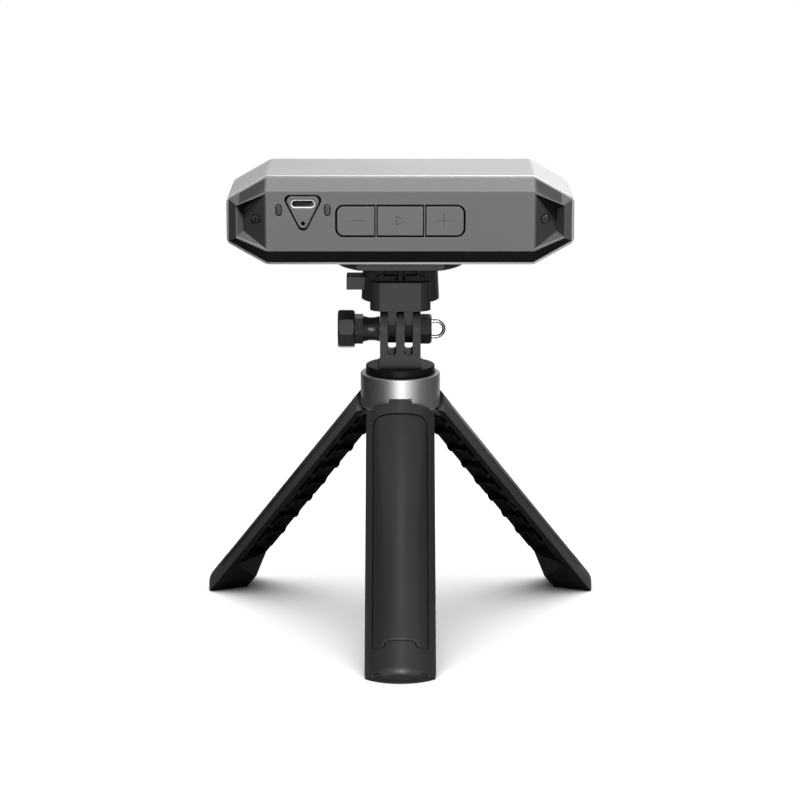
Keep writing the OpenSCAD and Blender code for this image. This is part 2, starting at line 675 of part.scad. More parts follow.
// Quick-release cup: round body, block with two fingers, dovetail groove and latch slots
groove_end = tongue_l / 2 + tongue_fit;
groove_z = tongue_z - tongue_fit;
latch_d = 8;
latch_tab_d = 10;
latch_z = groove_z - 4.2;
latch_play = 0.2;
latch_bar_h = 3.9;
latch_tab_h = 4.7;
tab_root = 12.7;
jaw_x = tongue_hw + tongue_fit + 0.15;
jaw_t = 1.5;
jaw_top = tongue_z + tongue_step - 0.1;
spring_r = 1.5;
spring_bore = 1;
spring_x0 = -7.8;
spring_x1 = 4;
spring_z = latch_z - spring_r - latch_play;
lug_t = 1.2;
lug_hw = 1.6;
finger_t = slot_w - 2 * finger_play;
block_r = 4.5;
module block_outline() soft_polygon(rect(block_w, block_d), block_r);
module release_cup() color("dimgray") on_axis() difference() {
    union() {
        translate([0, 0, cup_z]) cylinder(h = cup_h, r1 = cup_r, r2 = cup_r - cup_taper);
        translate([0, 0, block_z]) linear_extrude(groove_z - block_z) block_outline();
        for (s = [-1, 1]) along_x(s * slot_x - finger_t / 2, s * slot_x + finger_t / 2) {
            translate([0, pivot_z]) circle(finger_r);
            translate([-finger_r, pivot_z]) square([2 * finger_r, block_up + cut]);
        }
    }
    along_y(-far, groove_end) polygon(tongue(tongue_fit));
    translate([-far, -latch_tab_d / 2 - latch_play, latch_z - latch_play])
        cube([far - tab_root + latch_travel + latch_play, latch_tab_d + 2 * latch_play, latch_tab_h + 2 * latch_play]);
    translate([-tab_root, -latch_d / 2 - latch_play, latch_z - latch_play])
        cube([tab_root + jaw_x + jaw_t + latch_travel + latch_play, latch_d + 2 * latch_play,
            groove_z - latch_z + latch_play + cut / 4]);
    translate([tongue_hw, -latch_d / 2 - latch_play, latch_z])
        cube([jaw_x + jaw_t + latch_travel + latch_play - tongue_hw, latch_d + 2 * latch_play,
            jaw_top - latch_z + latch_play]);
    translate([spring_x0 - lug_t - latch_play, -lug_hw - latch_play, spring_z - spring_r - latch_play])
        cube([spring_x1 - spring_x0 + lug_t + latch_play, 2 * (lug_hw + latch_play), 2 * spring_r + cut]);
    translate([0, 0, pivot_z]) rod_x(bolt_r + seat_fit, -post_w, post_w);
}

module release_latch() color("dimgray") on_axis() {
    translate([-tab_root - tab_out - 1.2, -latch_tab_d / 2, latch_z])
        cube([tab_out + 1.2, latch_tab_d, latch_tab_h]);
    translate([-tab_root - press_fit, -latch_d / 2, latch_z])
        cube([tab_root + jaw_x + jaw_t, latch_d, latch_bar_h]);
    translate([jaw_x, -latch_d / 2, latch_z]) cube([jaw_t, latch_d, jaw_top - latch_z]);
    translate([spring_x0 - lug_t, -lug_hw, spring_z - spring_r])
        cube([lug_t, 2 * lug_hw, latch_z - spring_z + spring_r + press_fit]);
}
module latch_spring() color("silver") on_axis() translate([0, 0, spring_z]) difference() {
    rod_x(spring_r, spring_x0, spring_x1);
    rod_x(spring_bore, spring_x0 - cut, spring_x1 + cut);
}

// Clamp knob with an eight-sided head, six-sided collar and waisted neck
post_face = post_w / 2;
knob_x1 = -post_face - turn_gap;
knob_x0 = knob_x1 - knob_l;
knob_turn = 5.5;
cap_turn = 37;
knob_chamfer = 0.8;
collar_l = 3;
neck_r = 4.3;
neck_flare_r = 4.7;
// Turned blank whose chamfers, c wide, start at radius r
module end_chamfer(r, x0, x1, c, both) {
    wide = r + c;
    start = both ? r - c : wide;
    rotate([0, 90, 0]) rotate_extrude()
        polygon([[0, x0], [start, x0], [wide, x0 + wide - start], [wide, x1 - 2 * c], [r - c, x1], [0, x1]]);
}
module clamp_knob() color("black") on_axis() translate([0, 0, pivot_z]) difference() {
    union() {
        intersection() {
            translate([knob_x0, 0, 0]) rotate([knob_turn, 0, 0]) rotate([0, 90, 0])
                cylinder(h = knob_head_l, r = knob_r, $fn = 8);
            end_chamfer(knob_r, knob_x0, knob_x0 + knob_head_l, knob_chamfer, true);
        }
        translate([knob_x0 + knob_head_l - press_fit, 0, 0]) rotate([cap_turn, 0, 0]) rotate([0, 90, 0])
            cylinder(h = collar_l, r = cap_r, $fn = 6);
        rotate([0, 90, 0]) rotate_extrude() polygon([
            [0, knob_x0 + knob_head_l], [cap_r * cos(30), knob_x0 + knob_head_l + collar_l - press_fit],
            [neck_r, knob_x0 + knob_head_l + collar_l + 2.2], [neck_r, knob_x1 - 2],
            [neck_flare_r, knob_x1], [0, knob_x1]]);
    }
    rod_x(bolt_r + press_fit, knob_x0 + 2, knob_x1 + cut);
}
cap_x0 = post_face;
cap_x1 = cap_x0 + cap_l;
thread_end = cap_x1 - 0.9;
module clamp_bolt() color("silver") on_axis() translate([0, 0, pivot_z])
    rod_x(bolt_r, knob_x0 + 2 + press_fit, thread_end - slide_fit);
wire_in = 0.8;
module cap_nut() color("black") on_axis() translate([0, 0, pivot_z]) difference() {
    intersection() {
        translate([cap_x0, 0, 0]) rotate([cap_turn, 0, 0]) rotate([0, 90, 0])
            cylinder(h = cap_l, r = cap_r, $fn = 6);
        end_chamfer(cap_r, cap_x0, cap_x1, knob_chamfer, false);
    }
    rod_x(bolt_r + seat_fit, cap_x0 - cut, thread_end);
    for (s = [-1, 1]) translate([0, 0, s * loop_r]) rod_x(wire_r + press_fit, cap_x1 - wire_in, cap_x1 + cut);
}
module tether_loop() color("silver") on_axis() translate([0, 0, pivot_z]) {
    for (s = [-1, 1]) translate([0, 0, s * loop_r]) rod_x(wire_r, cap_x1 - wire_in, cap_x1 + loop_leg);
    translate([cap_x1 + loop_leg, 0, 0]) rotate([90, 0, 0]) rotate([0, 0, -90])
        rotate_extrude(angle = 180) translate([loop_r, 0]) circle(wire_r);
}

// Turning disc with the three-prong post
knuckle_r = 3.5;
spigot_r = 6;
spigot_z = hinge_h + knuckle_r + part_gap + 1.4;
slot_drop = 8.6;
post_floor = pivot_z - slot_drop;
slot_corner_r = 1.1;
disc_edge_r = 0.4;
post_hd = post_r;
root_w = 0.6;
root_h = 0.7;
module post_slot() {
    for (s = [-1, 1]) translate([s * (slot_w / 2 - slot_corner_r), post_floor + slot_corner_r]) circle(slot_corner_r);
    translate([-slot_w / 2 + slot_corner_r, post_floor]) square([slot_w - 2 * slot_corner_r, far]);
    translate([-slot_w / 2, post_floor + slot_corner_r]) square([slot_w, far]);
}
module turning_post() color("dimgray") on_axis() difference() {
    union() {
        rotate_extrude() intersection() {
            soft_polygon([[-far, disc_z], [disc_r, disc_z], [disc_r, disc_top], [-far, disc_top]], disc_edge_r);
            translate([0, disc_z - cut]) square([far, disc_h + 2 * cut]);
        }
        translate([0, 0, spigot_z]) cylinder(h = disc_z - spigot_z + cut, r = spigot_r);
        along_x(-post_face, post_face) {
            translate([-post_hd, disc_top - cut]) square([2 * post_hd, pivot_z - disc_top + cut]);
            translate([0, pivot_z]) circle(post_r);
        }
        along_x(-post_face - root_w, post_face + root_w)
            translate([-post_hd - root_w, disc_top - cut]) square([2 * (post_hd + root_w), root_h + cut]);
    }
    for (s = [-1, 1]) translate([s * slot_x, 0, 0]) along_y(-far, far) post_slot();
    translate([0, 0, pivot_z]) rod_x(bolt_r + seat_fit, -post_w, post_w);
    translate([0, 0, spigot_z - cut]) cylinder(h = disc_z - spigot_z + cut + 1, r = screw_r + press_fit);
}

screw_r = 2;
head_r = 3.3;
head_h = 2.4;
head_z = collar_z + 0.4;
washer_h = 0.6;
washer_z = head_z + head_h;
hex_r = 1.4;
module turning_screw() color("silver") on_axis() difference() {
    union() {
        translate([0, 0, head_z]) cylinder(h = head_h, r = head_r);
        translate([0, 0, head_z]) cylinder(h = disc_z - head_z + 0.8, r = screw_r);
    }
    translate([0, 0, head_z - cut]) cylinder(h = cut + 1.3, r = hex_r, $fn = 6);
}
module friction_washer() color("ivory") on_axis() translate([0, 0, washer_z]) difference() {
    cylinder(h = washer_h, r = head_r);
    translate([0, 0, -cut]) cylinder(h = washer_h + 2 * cut, r = screw_r + run_fit);
}

// Places round the tripod: every leg is drawn folded, facing -Y, and then opened
module at_leg(i) on_axis() rotate([0, 0, leg_turn * i]) children();
module opened() translate([0, -hinge_r, hinge_h]) rotate([-leg_spread, 0, 0])
    translate([0, hinge_r, -hinge_h]) children();

notch_w = tab_w + 2 * part_gap;
notch_top = hinge_h + 1.7;
stop_gap = 0.15;
collar_edge_r = 0.7;
collar_bore = leg_r - collar_wall;
// Room that the open leg's shoulder needs in the collar and the hub
module shoulder_room() opened() translate([-far / 2, -far / 2, leg_top + stop_gap - far])
    cube([far, far, far]);
module collar() color("silver") on_axis() difference() {
    rotate_extrude() soft_polygon([[collar_bore, collar_z], [leg_r, collar_z], [leg_r, collar_top],
        [collar_bore, collar_top]], collar_edge_r);
    for (i = [0 : leg_count - 1]) rotate([0, 0, leg_turn * i]) {
        shoulder_room();
        translate([-notch_w / 2, -leg_r - cut, collar_z - cut])
            cube([notch_w, leg_r - hinge_r + cut, notch_top - collar_z + cut]);
    }
}
hub_r = collar_bore - seat_fit;
hub_top = collar_top - 0.4;
hub_slot_in = hinge_r - knuckle_r - part_gap;
module hub() color("black") on_axis() difference() {
    translate([0, 0, collar_z]) cylinder(h = hub_top - collar_z, r = hub_r);
    for (i = [0 : leg_count - 1]) rotate([0, 0, leg_turn * i]) {
        shoulder_room();
        translate([-notch_w / 2, -far - hub_slot_in, collar_z - cut])
            cube([notch_w, far, hinge_h + knuckle_r + part_gap - collar_z + cut]);
        translate([0, -hinge_r, hinge_h]) rod_x(pin_r + press_fit, -hub_r, hub_r);
    }
    translate([0, 0, spigot_z - turn_gap]) cylinder(h = far, r = spigot_r + run_fit);
    translate([0, 0, collar_z - cut]) cylinder(h = far, r = screw_r + run_fit);
    translate([0, 0, collar_z - cut])
        cylinder(h = washer_z + washer_h + turn_gap - collar_z + cut, r = head_r + slide_fit);
}
pin_hl = sqrt(pow(hub_r, 2) - pow(hinge_r + pin_r, 2)) - 2 * slide_fit;
module hinge_pins() color("silver") on_axis() for (i = [0 : leg_count - 1]) rotate([0, 0, leg_turn * i])
    translate([0, -hinge_r, hinge_h]) rod_x(pin_r, -pin_hl, pin_hl);

// Leg: an arched shell with ribs inside, a solid foot and a hinge tab
tab_rise = 1.1;
leg_in = leg_r - leg_wall;
leg_low = hinge_h - hinge_h / cos(leg_spread) - leg_r;
chord_r = 6.4;
end_t = 4;
shoulder_r = 2.6;
heel_r = 0.6;
heel_h = 6;
heel_slope = 4;
foot_top = hinge_h + (hinge_r * sin(leg_spread) - hinge_h) / cos(leg_spread) + heel_h;
module wedge(gap) {
    apex = gap / 2 / sin(side_half);
    polygon([[0, -apex], [-far, -apex - far / tan(side_half)], [far, -apex - far / tan(side_half)]]);
}
module sector(r_out, r_in, gap) intersection() {
    difference() {
        circle(r_out);
        circle(r_in);
    }
    wedge(gap);
}
module tall(z0, z1) translate([0, 0, z0]) linear_extrude(z1 - z0) children();
module full_sector(gap, z0, z1) tall(z0, z1) intersection() {
    circle(leg_r);
    wedge(gap);
}

rib_turn = 46;
rib_tilt = 36;
rib_h = 2.2;
rib_t = 1.3;
leg_span = hinge_h - foot_top;
rib_pitch = leg_span / (rib_n + 2.1);
rib_top = hinge_h - 1.43 * rib_pitch;
rail_turn = 33;
rail_w = 1;
lug_out = 1;
lug_l = 0.09 * leg_span;
lug_turn = 9;
lug_tops = [hinge_h - 0.505 * leg_span, hinge_h - 0.826 * leg_span];
module leg_ribs() {
    intersection() {
        tall(rib_top - rib_n * rib_pitch - rib_pitch, rib_top + rib_pitch) difference() {
            sector(leg_in + press_fit, leg_in - rib_h, leg_gap);
            polygon([[0, 0], far * [-sin(rail_turn), -cos(rail_turn)], far * [sin(rail_turn), -cos(rail_turn)]]);
        }
        for (k = [0 : rib_n - 1], s = [-1, 1]) rotate([0, 0, s * rib_turn])
            translate([0, -leg_in, rib_top - k * rib_pitch]) rotate([0, -s * rib_tilt, 0])
            cube([leg_r, 3 * rib_h, rib_t], center = true);
    }
    for (s = [-1, 1]) rotate([0, 0, s * rail_turn])
        translate([-rail_w / 2, -leg_in - press_fit, foot_top + heel_slope - cut])
        cube([rail_w, rail_w, leg_top - end_t - foot_top - heel_slope + 2 * cut]);
    for (z = lug_tops) tall(z - lug_l, z) difference() {
        sector(leg_in + press_fit, leg_in - lug_out, leg_gap);
        polygon([[0, 0], far * [-sin(side_half - lug_turn), -cos(side_half - lug_turn)],
            far * [sin(side_half - lug_turn), -cos(side_half - lug_turn)]]);
    }
}
// Corners taken off the shoulders of a leg
module shoulder_corners() along_y(-far, far) for (s = [-1, 1]) difference() {
    translate([s * (edge_half + cut - shoulder_r / 2 - cut / 2), leg_top - shoulder_r / 2 + cut / 2])
        square([shoulder_r + cut, shoulder_r + cut], center = true);
    translate([s * (edge_half - shoulder_r), leg_top - shoulder_r]) circle(shoulder_r + arc_lap);
}
module leg_tab() intersection() {
    along_x(-tab_w / 2, tab_w / 2) {
        translate([-hinge_r, hinge_h]) circle(knuckle_r);
        translate([-leg_r, leg_top - cut]) square([leg_r - hinge_r + knuckle_r, cut + tab_rise]);
    }
    tall(0, far) circle(leg_r - seat_fit);
}

// Grip pad let into the outer face, with a notch at its foot
grip_top = leg_top - 4.3;
grip_low = foot_top - 2.3;
grip_corner_r = 3.2;
grip_foot_r = 1.1;
grip_notch_hw = 5.2;
grip_notch_h = 2.1;
grip_notch_slope = 0.8;
grip_notch_r = 0.8;
grip_gap = 0.3;
// Outline of the pad, grown by g: a tall upper part and a lower part with small corners, less the notch
module grip_outline(g) difference() {
    union() {
        translate([0, (grip_top + grip_low) / 2 + grip_corner_r])
            soft_polygon(rect(2 * grip_hw + 2 * g, grip_top - grip_low + 2 * g - 2 * grip_corner_r), grip_corner_r + g);
        translate([0, grip_low + grip_hw])
            soft_polygon(rect(2 * grip_hw + 2 * g, 2 * grip_hw + 2 * g), grip_foot_r + g);
    }
    translate([0, grip_low - g]) grip_notch(g);
}
// Notch with its lower mouth at the pad's edge and two soft corners above
module grip_notch(g) {
    foot = grip_notch_hw + grip_notch_slope - g;
    head = grip_notch_hw - g;
    soft_polygon([[-foot, -cut], [foot, -cut], [foot, 0], [head, grip_notch_h], [-head, grip_notch_h], [-foot, 0]],
        grip_notch_r - g);
}
module grip_shell(g, r_in, r_out) intersection() {
    along_y(-far, -chord_r) grip_outline(g);
    tall(leg_low, leg_top) difference() {
        circle(r_out);
        circle(r_in);
    }
}

// Toe in the open position: an upright round nose that blends into the leg
toe_rise = toe_back / tan(leg_spread);
toe_z = toe_rise - toe_fillet * tan(leg_spread / 2);
toe_top = toe_z + toe_fillet * sin(leg_spread);
module toe_nose() translate([0, -toe_c, 0]) rotate_extrude() intersection() {
    union() {
        translate([0, -cut]) square([toe_r, toe_z + cut]);
        translate([toe_r - toe_fillet, toe_z]) circle(toe_fillet);
        translate([0, -cut]) square([toe_r - toe_fillet, toe_top + cut]);
    }
    translate([0, -cut]) square([toe_r, toe_top + cut]);
}
lip_hw = 9.7;
lip_low = 0.6;
lip_rise = toe_lip_h - lip_low;
lip_r = (lip_hw * lip_hw + lip_rise * lip_rise) / 2 / lip_rise;
lip_d = 3.4;
lip_rim = 0.9;
lip_sink = 0.7;
module toe_lip(g) translate([0, 0, toe_lip_h - lip_r]) rod_y(lip_r - g, -foot_reach - cut, lip_d - foot_reach - g);

// Shallow dish in the face of the lip, above the edge of the sole
module toe_dish() intersection() {
    translate([0, 0, toe_lip_h - lip_r]) rod_y(lip_r - slide_fit - lip_rim, -foot_reach - cut, -toe_c);
    difference() {
        translate([-far / 2, -far, sole_t]) cube([far, far - cut, far]);
        translate([0, -toe_c, -cut]) cylinder(h = far, r = toe_r - lip_sink);
    }
}

module leg(i) color("dimgray") at_leg(i) difference() {
    opened() difference() {
        union() {
            tall(leg_low, leg_top) sector(leg_r, leg_in, leg_gap);
            intersection() {
                full_sector(leg_gap, leg_low, leg_top);
                along_x(-far / 2, far / 2) {
                    translate([-far, leg_top - end_t]) square([far - chord_r, end_t]);
                    polygon([[-heel_r, leg_low], [-heel_r, foot_top], [-chord_r, foot_top + heel_slope],
                        [-far, foot_top + heel_slope], [-far, leg_low]]);
                }
            }
            leg_ribs();
            leg_tab();
        }
        grip_shell(grip_gap, leg_r - grip_t - seat_fit, leg_r + cut);
        shoulder_corners();
        translate([0, -hinge_r, hinge_h]) rod_x(pin_r + run_fit, -tab_w, tab_w);
    }
    translate([-far / 2, -far, -far]) cube([far, 2 * far, far + sole_t]);
    difference() {
        translate([-far / 2, -far - toe_c, -cut]) cube([far, far, toe_top + cut]);
        toe_nose();
    }
    toe_lip(0);
}
module grip(i) color("black") at_leg(i) opened()
    grip_shell(0, leg_r - grip_t, leg_r - seat_fit);
sole_inset = 0.3;
module sole(i) color("gray") at_leg(i) intersection() {
    opened() full_sector(leg_gap + 2 * sole_inset, leg_low, leg_top);
    toe_nose();
    union() {
        translate([-far / 2, -far, 0]) cube([far, 2 * far, sole_t]);
        difference() {
            toe_lip(slide_fit);
            translate([-far / 2, -far, -far]) cube([far, 2 * far, far + sole_t - press_fit]);
            toe_dish();
        }
    }
}
module leg_front() leg(0);
module grip_front() grip(0);
module sole_front() sole(0);
module leg_right() leg(1);
module grip_right() grip(1);
module sole_right() sole(1);
module leg_left() leg(2);
module grip_left() grip(2);
module sole_left() sole(2);

band_shell();
rear_cover();
cover_screws();
key_minus();
key_play();
key_plus();
key_switches();
port_board();
port_shell();
port_tongue();
status_lights();
flex_cable();
main_board();
board_screws();
heat_sink();
chassis();
left_camera();
right_camera();
colour_camera();
projector();
lens_glass();
fill_lights();
front_bezel();
front_glass();
tripod_bush();
release_plate();
plate_pad();
plate_screw();
release_cup();
release_latch();
latch_spring();
clamp_knob();
clamp_bolt();
cap_nut();
tether_loop();
turning_post();
turning_screw();
friction_washer();
collar();
hub();
hinge_pins();
leg_front();
grip_front();
sole_front();
leg_right();
grip_right();
sole_right();
leg_left();
grip_left();
sole_left();
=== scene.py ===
"""Looks for a three-d scanner on a folding mini tripod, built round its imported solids."""

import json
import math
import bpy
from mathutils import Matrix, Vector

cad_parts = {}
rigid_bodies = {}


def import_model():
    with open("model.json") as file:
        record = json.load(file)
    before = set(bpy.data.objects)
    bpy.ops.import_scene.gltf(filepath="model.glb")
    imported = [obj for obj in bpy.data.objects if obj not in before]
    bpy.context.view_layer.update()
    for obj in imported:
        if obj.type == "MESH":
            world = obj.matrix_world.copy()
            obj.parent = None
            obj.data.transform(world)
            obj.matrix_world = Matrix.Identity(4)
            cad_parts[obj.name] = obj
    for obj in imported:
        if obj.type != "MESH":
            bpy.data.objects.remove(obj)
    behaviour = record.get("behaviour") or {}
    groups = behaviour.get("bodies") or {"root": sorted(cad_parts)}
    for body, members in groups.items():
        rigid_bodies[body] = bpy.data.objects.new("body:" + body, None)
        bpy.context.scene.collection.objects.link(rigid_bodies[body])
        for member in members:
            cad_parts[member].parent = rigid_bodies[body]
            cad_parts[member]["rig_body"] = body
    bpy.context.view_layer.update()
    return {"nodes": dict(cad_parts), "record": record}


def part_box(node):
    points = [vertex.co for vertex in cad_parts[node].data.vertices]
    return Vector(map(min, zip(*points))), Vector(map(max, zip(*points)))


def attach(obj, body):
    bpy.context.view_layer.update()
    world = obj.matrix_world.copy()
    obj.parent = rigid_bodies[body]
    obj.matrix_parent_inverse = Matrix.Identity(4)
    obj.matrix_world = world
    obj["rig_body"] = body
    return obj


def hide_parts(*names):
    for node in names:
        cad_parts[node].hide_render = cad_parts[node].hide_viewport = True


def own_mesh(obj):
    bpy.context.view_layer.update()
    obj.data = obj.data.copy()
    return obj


bl_info = {
    "name": "Tripod scanner looks",
    "version": (1, 0, 0),
    "blender": (4, 5, 0),
    "location": "View3D > Sidebar > Scanner",
    "description": "Dresses the packed scanner and its mini tripod in finished pieces",
    "category": "Object",
}

import bmesh
import bpy
from bpy.props import FloatProperty, FloatVectorProperty, IntProperty, PointerProperty
from bpy.types import Operator, Panel, PropertyGroup
from mathutils import Matrix, Vector

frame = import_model()
NODES = frame["nodes"]
BODY_OF = {n: body for body, members in frame["record"]["behaviour"]["bodies"].items() for n in members}
SCANNER_BODIES = ("scanner", "minus_key", "play_key", "plus_key")
MM = 0.001
WELD = 2e-6
FLAT = math.radians(0.5)
CREASE, COVER_CREASE, GRIP_CREASE = math.radians(32), math.radians(14), math.radians(40)
ALONG_X = Matrix.Scale(MM, 4) @ Matrix.Rotation(math.pi / 2, 4, "Y")
ALONG_Y = Matrix.Scale(MM, 4) @ Matrix.Rotation(-math.pi / 2, 4, "X")

# Places in millimetres, taken from the record's joints and the solids' boxes
JOINTS = {joint["name"]: joint for joint in frame["record"]["behaviour"]["joints"]}
AXIS_Y = JOINTS["pan_turn"]["pos_m"][1] / MM
HINGE_R = AXIS_Y - JOINTS["front_leg_fold"]["pos_m"][1] / MM
HINGE_H = JOINTS["front_leg_fold"]["pos_m"][2] / MM
SPREAD = math.radians(-JOINTS["front_leg_fold"]["range_deg"][0])
LEG_R = 14.75
BODY_MID = (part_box("band_shell")[0].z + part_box("band_shell")[1].z) / 2 / MM
PANEL_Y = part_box("rear_cover")[0].y / MM
PIVOT_Z = JOINTS["tilt"]["pos_m"][2] / MM
SCREW_X, SCREW_UP, SCREW_SEAT, SCREW_HEAD = 52.2, 0.6, -19.4, 1.2
BARREL_Y = 22.8
LENSES = ((-38.0, 5.6), (38.0, 5.6), (17.0, 4.2), (0.0, 6.4))
# places across the post of the dark rings that stand for shade in its slot gaps
SHADE_RING_X = (-4.6, -1.6, 1.6, 4.6)
CAMERA_AWAY, CAMERA_UP, CAMERA_PITCH = 1020.0, 318.1, 77.02

# Lower and upper ends of a grip pad on a folded leg, in millimetres
FOOT_HEIGHT, FOOT_LAP, SHOULDER_DROP, GRIP_DROP = 6, 2.3, 4.1, 4.3
FOOT_TOP = HINGE_H + (HINGE_R * math.sin(SPREAD) - HINGE_H) / math.cos(SPREAD) + FOOT_HEIGHT
GRIP_LOW, GRIP_TOP = FOOT_TOP - FOOT_LAP, HINGE_H - SHOULDER_DROP - GRIP_DROP

# Steps round turned pieces
SCREW_STEPS, RING_STEPS = 40, 64

# Limits in metres of painted shade, heights on the mount and the cover's grooves and pockets, and of the window's
# printed border
PLATE_LEVEL, CUP_LEVEL, POST_LEVEL = 0.1348, 0.1125, 0.0972
SUNK = (0.00025, 0.0006)
POCKET_IN, POCKET_OUT = (0.0487, 0.0490), (0.0575, 0.0585)
BORDER_X, BORDER_Z = (0.0460, 0.0464), (0.0072, 0.0076)


def colour_prop(name, description, default):
    return FloatVectorProperty(name=name, description=description, subtype="COLOR", size=3, min=0, max=1,
                               default=default)


def length_prop(name, description, default):
    return FloatProperty(name=name, description=description, unit="LENGTH", min=0, precision=5, default=default)


def power_prop(name, description, default):
    return FloatProperty(name=name, description=description, unit="POWER", min=0, default=default)


class HousingSettings(PropertyGroup):
    silver: colour_prop("Band", "Colour of the silver band", (0.48, 0.48, 0.485))
    cover: colour_prop("Rear cover", "Colour of the rear cover and its keys", (0.205, 0.206, 0.21))
    light: colour_prop("Status lights", "Colour of the smoked status lights", (0.09, 0.092, 0.096))
    bezel: colour_prop("Front bezel", "Colour of the gloss front bezel", (0.012, 0.012, 0.013))
    band_edge: length_prop("Band edge", "Rounding of the band's rims", 0.00045)
    key_edge: length_prop("Key edge", "Rounding of the keys", 0.00012)
    contact_pitch: length_prop("Contact pitch", "Distance between the port's contacts", 0.0005)
    contact_count: IntProperty(name="Contacts", description="Contacts in each row of the port", min=2, default=12)


class MountSettings(PropertyGroup):
    mount: colour_prop("Mount", "Colour of the quick release and the post", (0.062, 0.062, 0.064))
    knob: colour_prop("Knob", "Colour of the clamp knob and the cap nut", (0.014, 0.014, 0.015))
    wire_r: length_prop("Wire radius", "Radius of the tether loop's wire", 0.00065)
    loop_r: length_prop("Loop radius", "Radius of the tether loop's bend", 0.00295)
    spring_turns: FloatProperty(name="Spring turns", description="Turns of the latch spring", min=2, default=9.0)
    spring_wire: length_prop("Spring wire", "Radius of the latch spring's wire", 0.00025)


class TripodSettings(PropertyGroup):
    collar: colour_prop("Collar", "Colour of the silver collar", (0.37, 0.375, 0.38))
    leg: colour_prop("Legs", "Colour of the legs", (0.04, 0.04, 0.041))
    grip: colour_prop("Grips", "Colour of the grip pads", (0.032, 0.032, 0.033))
    sole: colour_prop("Soles", "Colour of the rubber soles", (0.018, 0.018, 0.018))
    grip_round: length_prop("Grip rounding", "Rounding of the grip pads' edges", 0.00055)


class StageSettings(PropertyGroup):
    key_power: power_prop("Key", "Power of the key lamp over the scanner", 31.5)
    back_power: power_prop("Back", "Power of the lamp behind the scanner", 2.2)
    front_power: power_prop("Front", "Power of the front strip before the tripod", 12.5)
    leg_power: power_prop("Legs", "Power of the high strip before the tripod", 1.6)
    left_power: power_prop("Left", "Power of the strip left of the tripod", 0.6)
    wash_power: power_prop("Floor wash", "Power of the lamp over the floor", 22.0)
    ambient: FloatProperty(name="Ambient", description="Level of the room light", subtype="FACTOR", min=0, max=1,
                           default=0.05)
    lens: FloatProperty(name="Lens", description="Focal length of the camera in millimetres", unit="CAMERA", min=1,
                        default=126.28)


# Node helpers


def fill(tree, sockets, values):
    """Links or sets sockets by their keys."""
    for key, value in values.items():
        if isinstance(value, bpy.types.NodeSocket):
            tree.links.new(value, sockets[key])
        else:
            sockets[key].default_value = value


def add(tree, kind, inputs=None, **settings):
    """Adds a node, sets its own values and fills its inputs."""
    made = tree.nodes.new(kind)
    for key, value in settings.items():
        setattr(made, key, value)
    fill(tree, made.inputs, inputs or {})
    return made


def maths(tree, operation, a, b=0.0, clamp=False):
    return add(tree, "ShaderNodeMath", {0: a, 1: b}, operation=operation, use_clamp=clamp).outputs[0]


def vectors(tree, operation, a, b, result=0):
    """Vector maths; the factor of a scale has a socket of its own."""
    second = "Scale" if operation == "SCALE" else 1
    return add(tree, "ShaderNodeVectorMath", {0: a, second: b}, operation=operation).outputs[result]


def ramp(tree, value, low, high, start=0.0, end=1.0, kind="SMOOTHSTEP"):
    limits = {"From Min": low, "From Max": high, "To Min": start, "To Max": end}
    return add(tree, "ShaderNodeMapRange", {"Value": value, **limits}, interpolation_type=kind).outputs[0]


def coords(tree, kind="Object"):
    return add(tree, "ShaderNodeTexCoord").outputs[kind]


def xyz(tree, vector):
    return add(tree, "ShaderNodeSeparateXYZ", {0: vector}).outputs


def blend(tree, factor, first, second):
    return add(tree, "ShaderNodeMixShader", {0: factor, 1: first, 2: second}).outputs[0]


INT, FLOAT, VECTOR, COLOUR = ("NodeSocket" + kind for kind in ("Int", "Float", "Vector", "Color"))
GEOMETRY, OBJECT, MATERIAL = ("NodeSocket" + kind for kind in ("Geometry", "Object", "Material"))


def new_tree(name, kind, inputs, outputs):
    """A node group; an input has a default, from which its kind follows, or just a kind."""
    tree = bpy.data.node_groups.new(name, kind)
    for label, value in inputs.items():
        if isinstance(value, str):
            tree.interface.new_socket(label, in_out="INPUT", socket_type=value)
            continue
        socket = {int: INT, float: FLOAT}.get(type(value)) or {3: VECTOR, 4: COLOUR}[len(value)]
        tree.interface.new_socket(label, in_out="INPUT", socket_type=socket).default_value = value
    for label, socket in outputs.items():
        tree.interface.new_socket(label, in_out="OUTPUT", socket_type=socket)
    return tree, tree.nodes.new("NodeGroupInput").outputs, tree.nodes.new("NodeGroupOutput").inputs


# Shared effects


def soft_edge(tree, given):
    """Normals rounded over the edges, and a mask of where the edges are."""
    bevel = add(tree, "ShaderNodeBevel", {"Radius": given["Radius"]}, samples=4).outputs[0]
    face = add(tree, "ShaderNodeNewGeometry").outputs["Normal"]
    away = maths(tree, "SUBTRACT", 1.0, vectors(tree, "DOT_PRODUCT", bevel, face, "Value"), clamp=True)
    return {"Normal": bevel, "Edge": maths(tree, "MULTIPLY", away, 5.0, clamp=True)}


def moulded_grain(tree, given):
    """Fine moulded texture, as a height, and a slow drift of tone."""
    fine = {"Vector": coords(tree), "Scale": given["Scale"]}
    noise = add(tree, "ShaderNodeTexNoise", {**fine, "Detail": 3.0, "Roughness": 0.6})
    cells = add(tree, "ShaderNodeTexVoronoi", fine, feature="SMOOTH_F1")
    slow = add(tree, "ShaderNodeTexNoise", {**fine, "Scale": given["Slow"], "Detail": 2.0})
    both = maths(tree, "ADD", noise.outputs[0], maths(tree, "MULTIPLY", cells.outputs["Distance"], 0.5))
    return {"Height": both, "Tone": slow.outputs[0]}


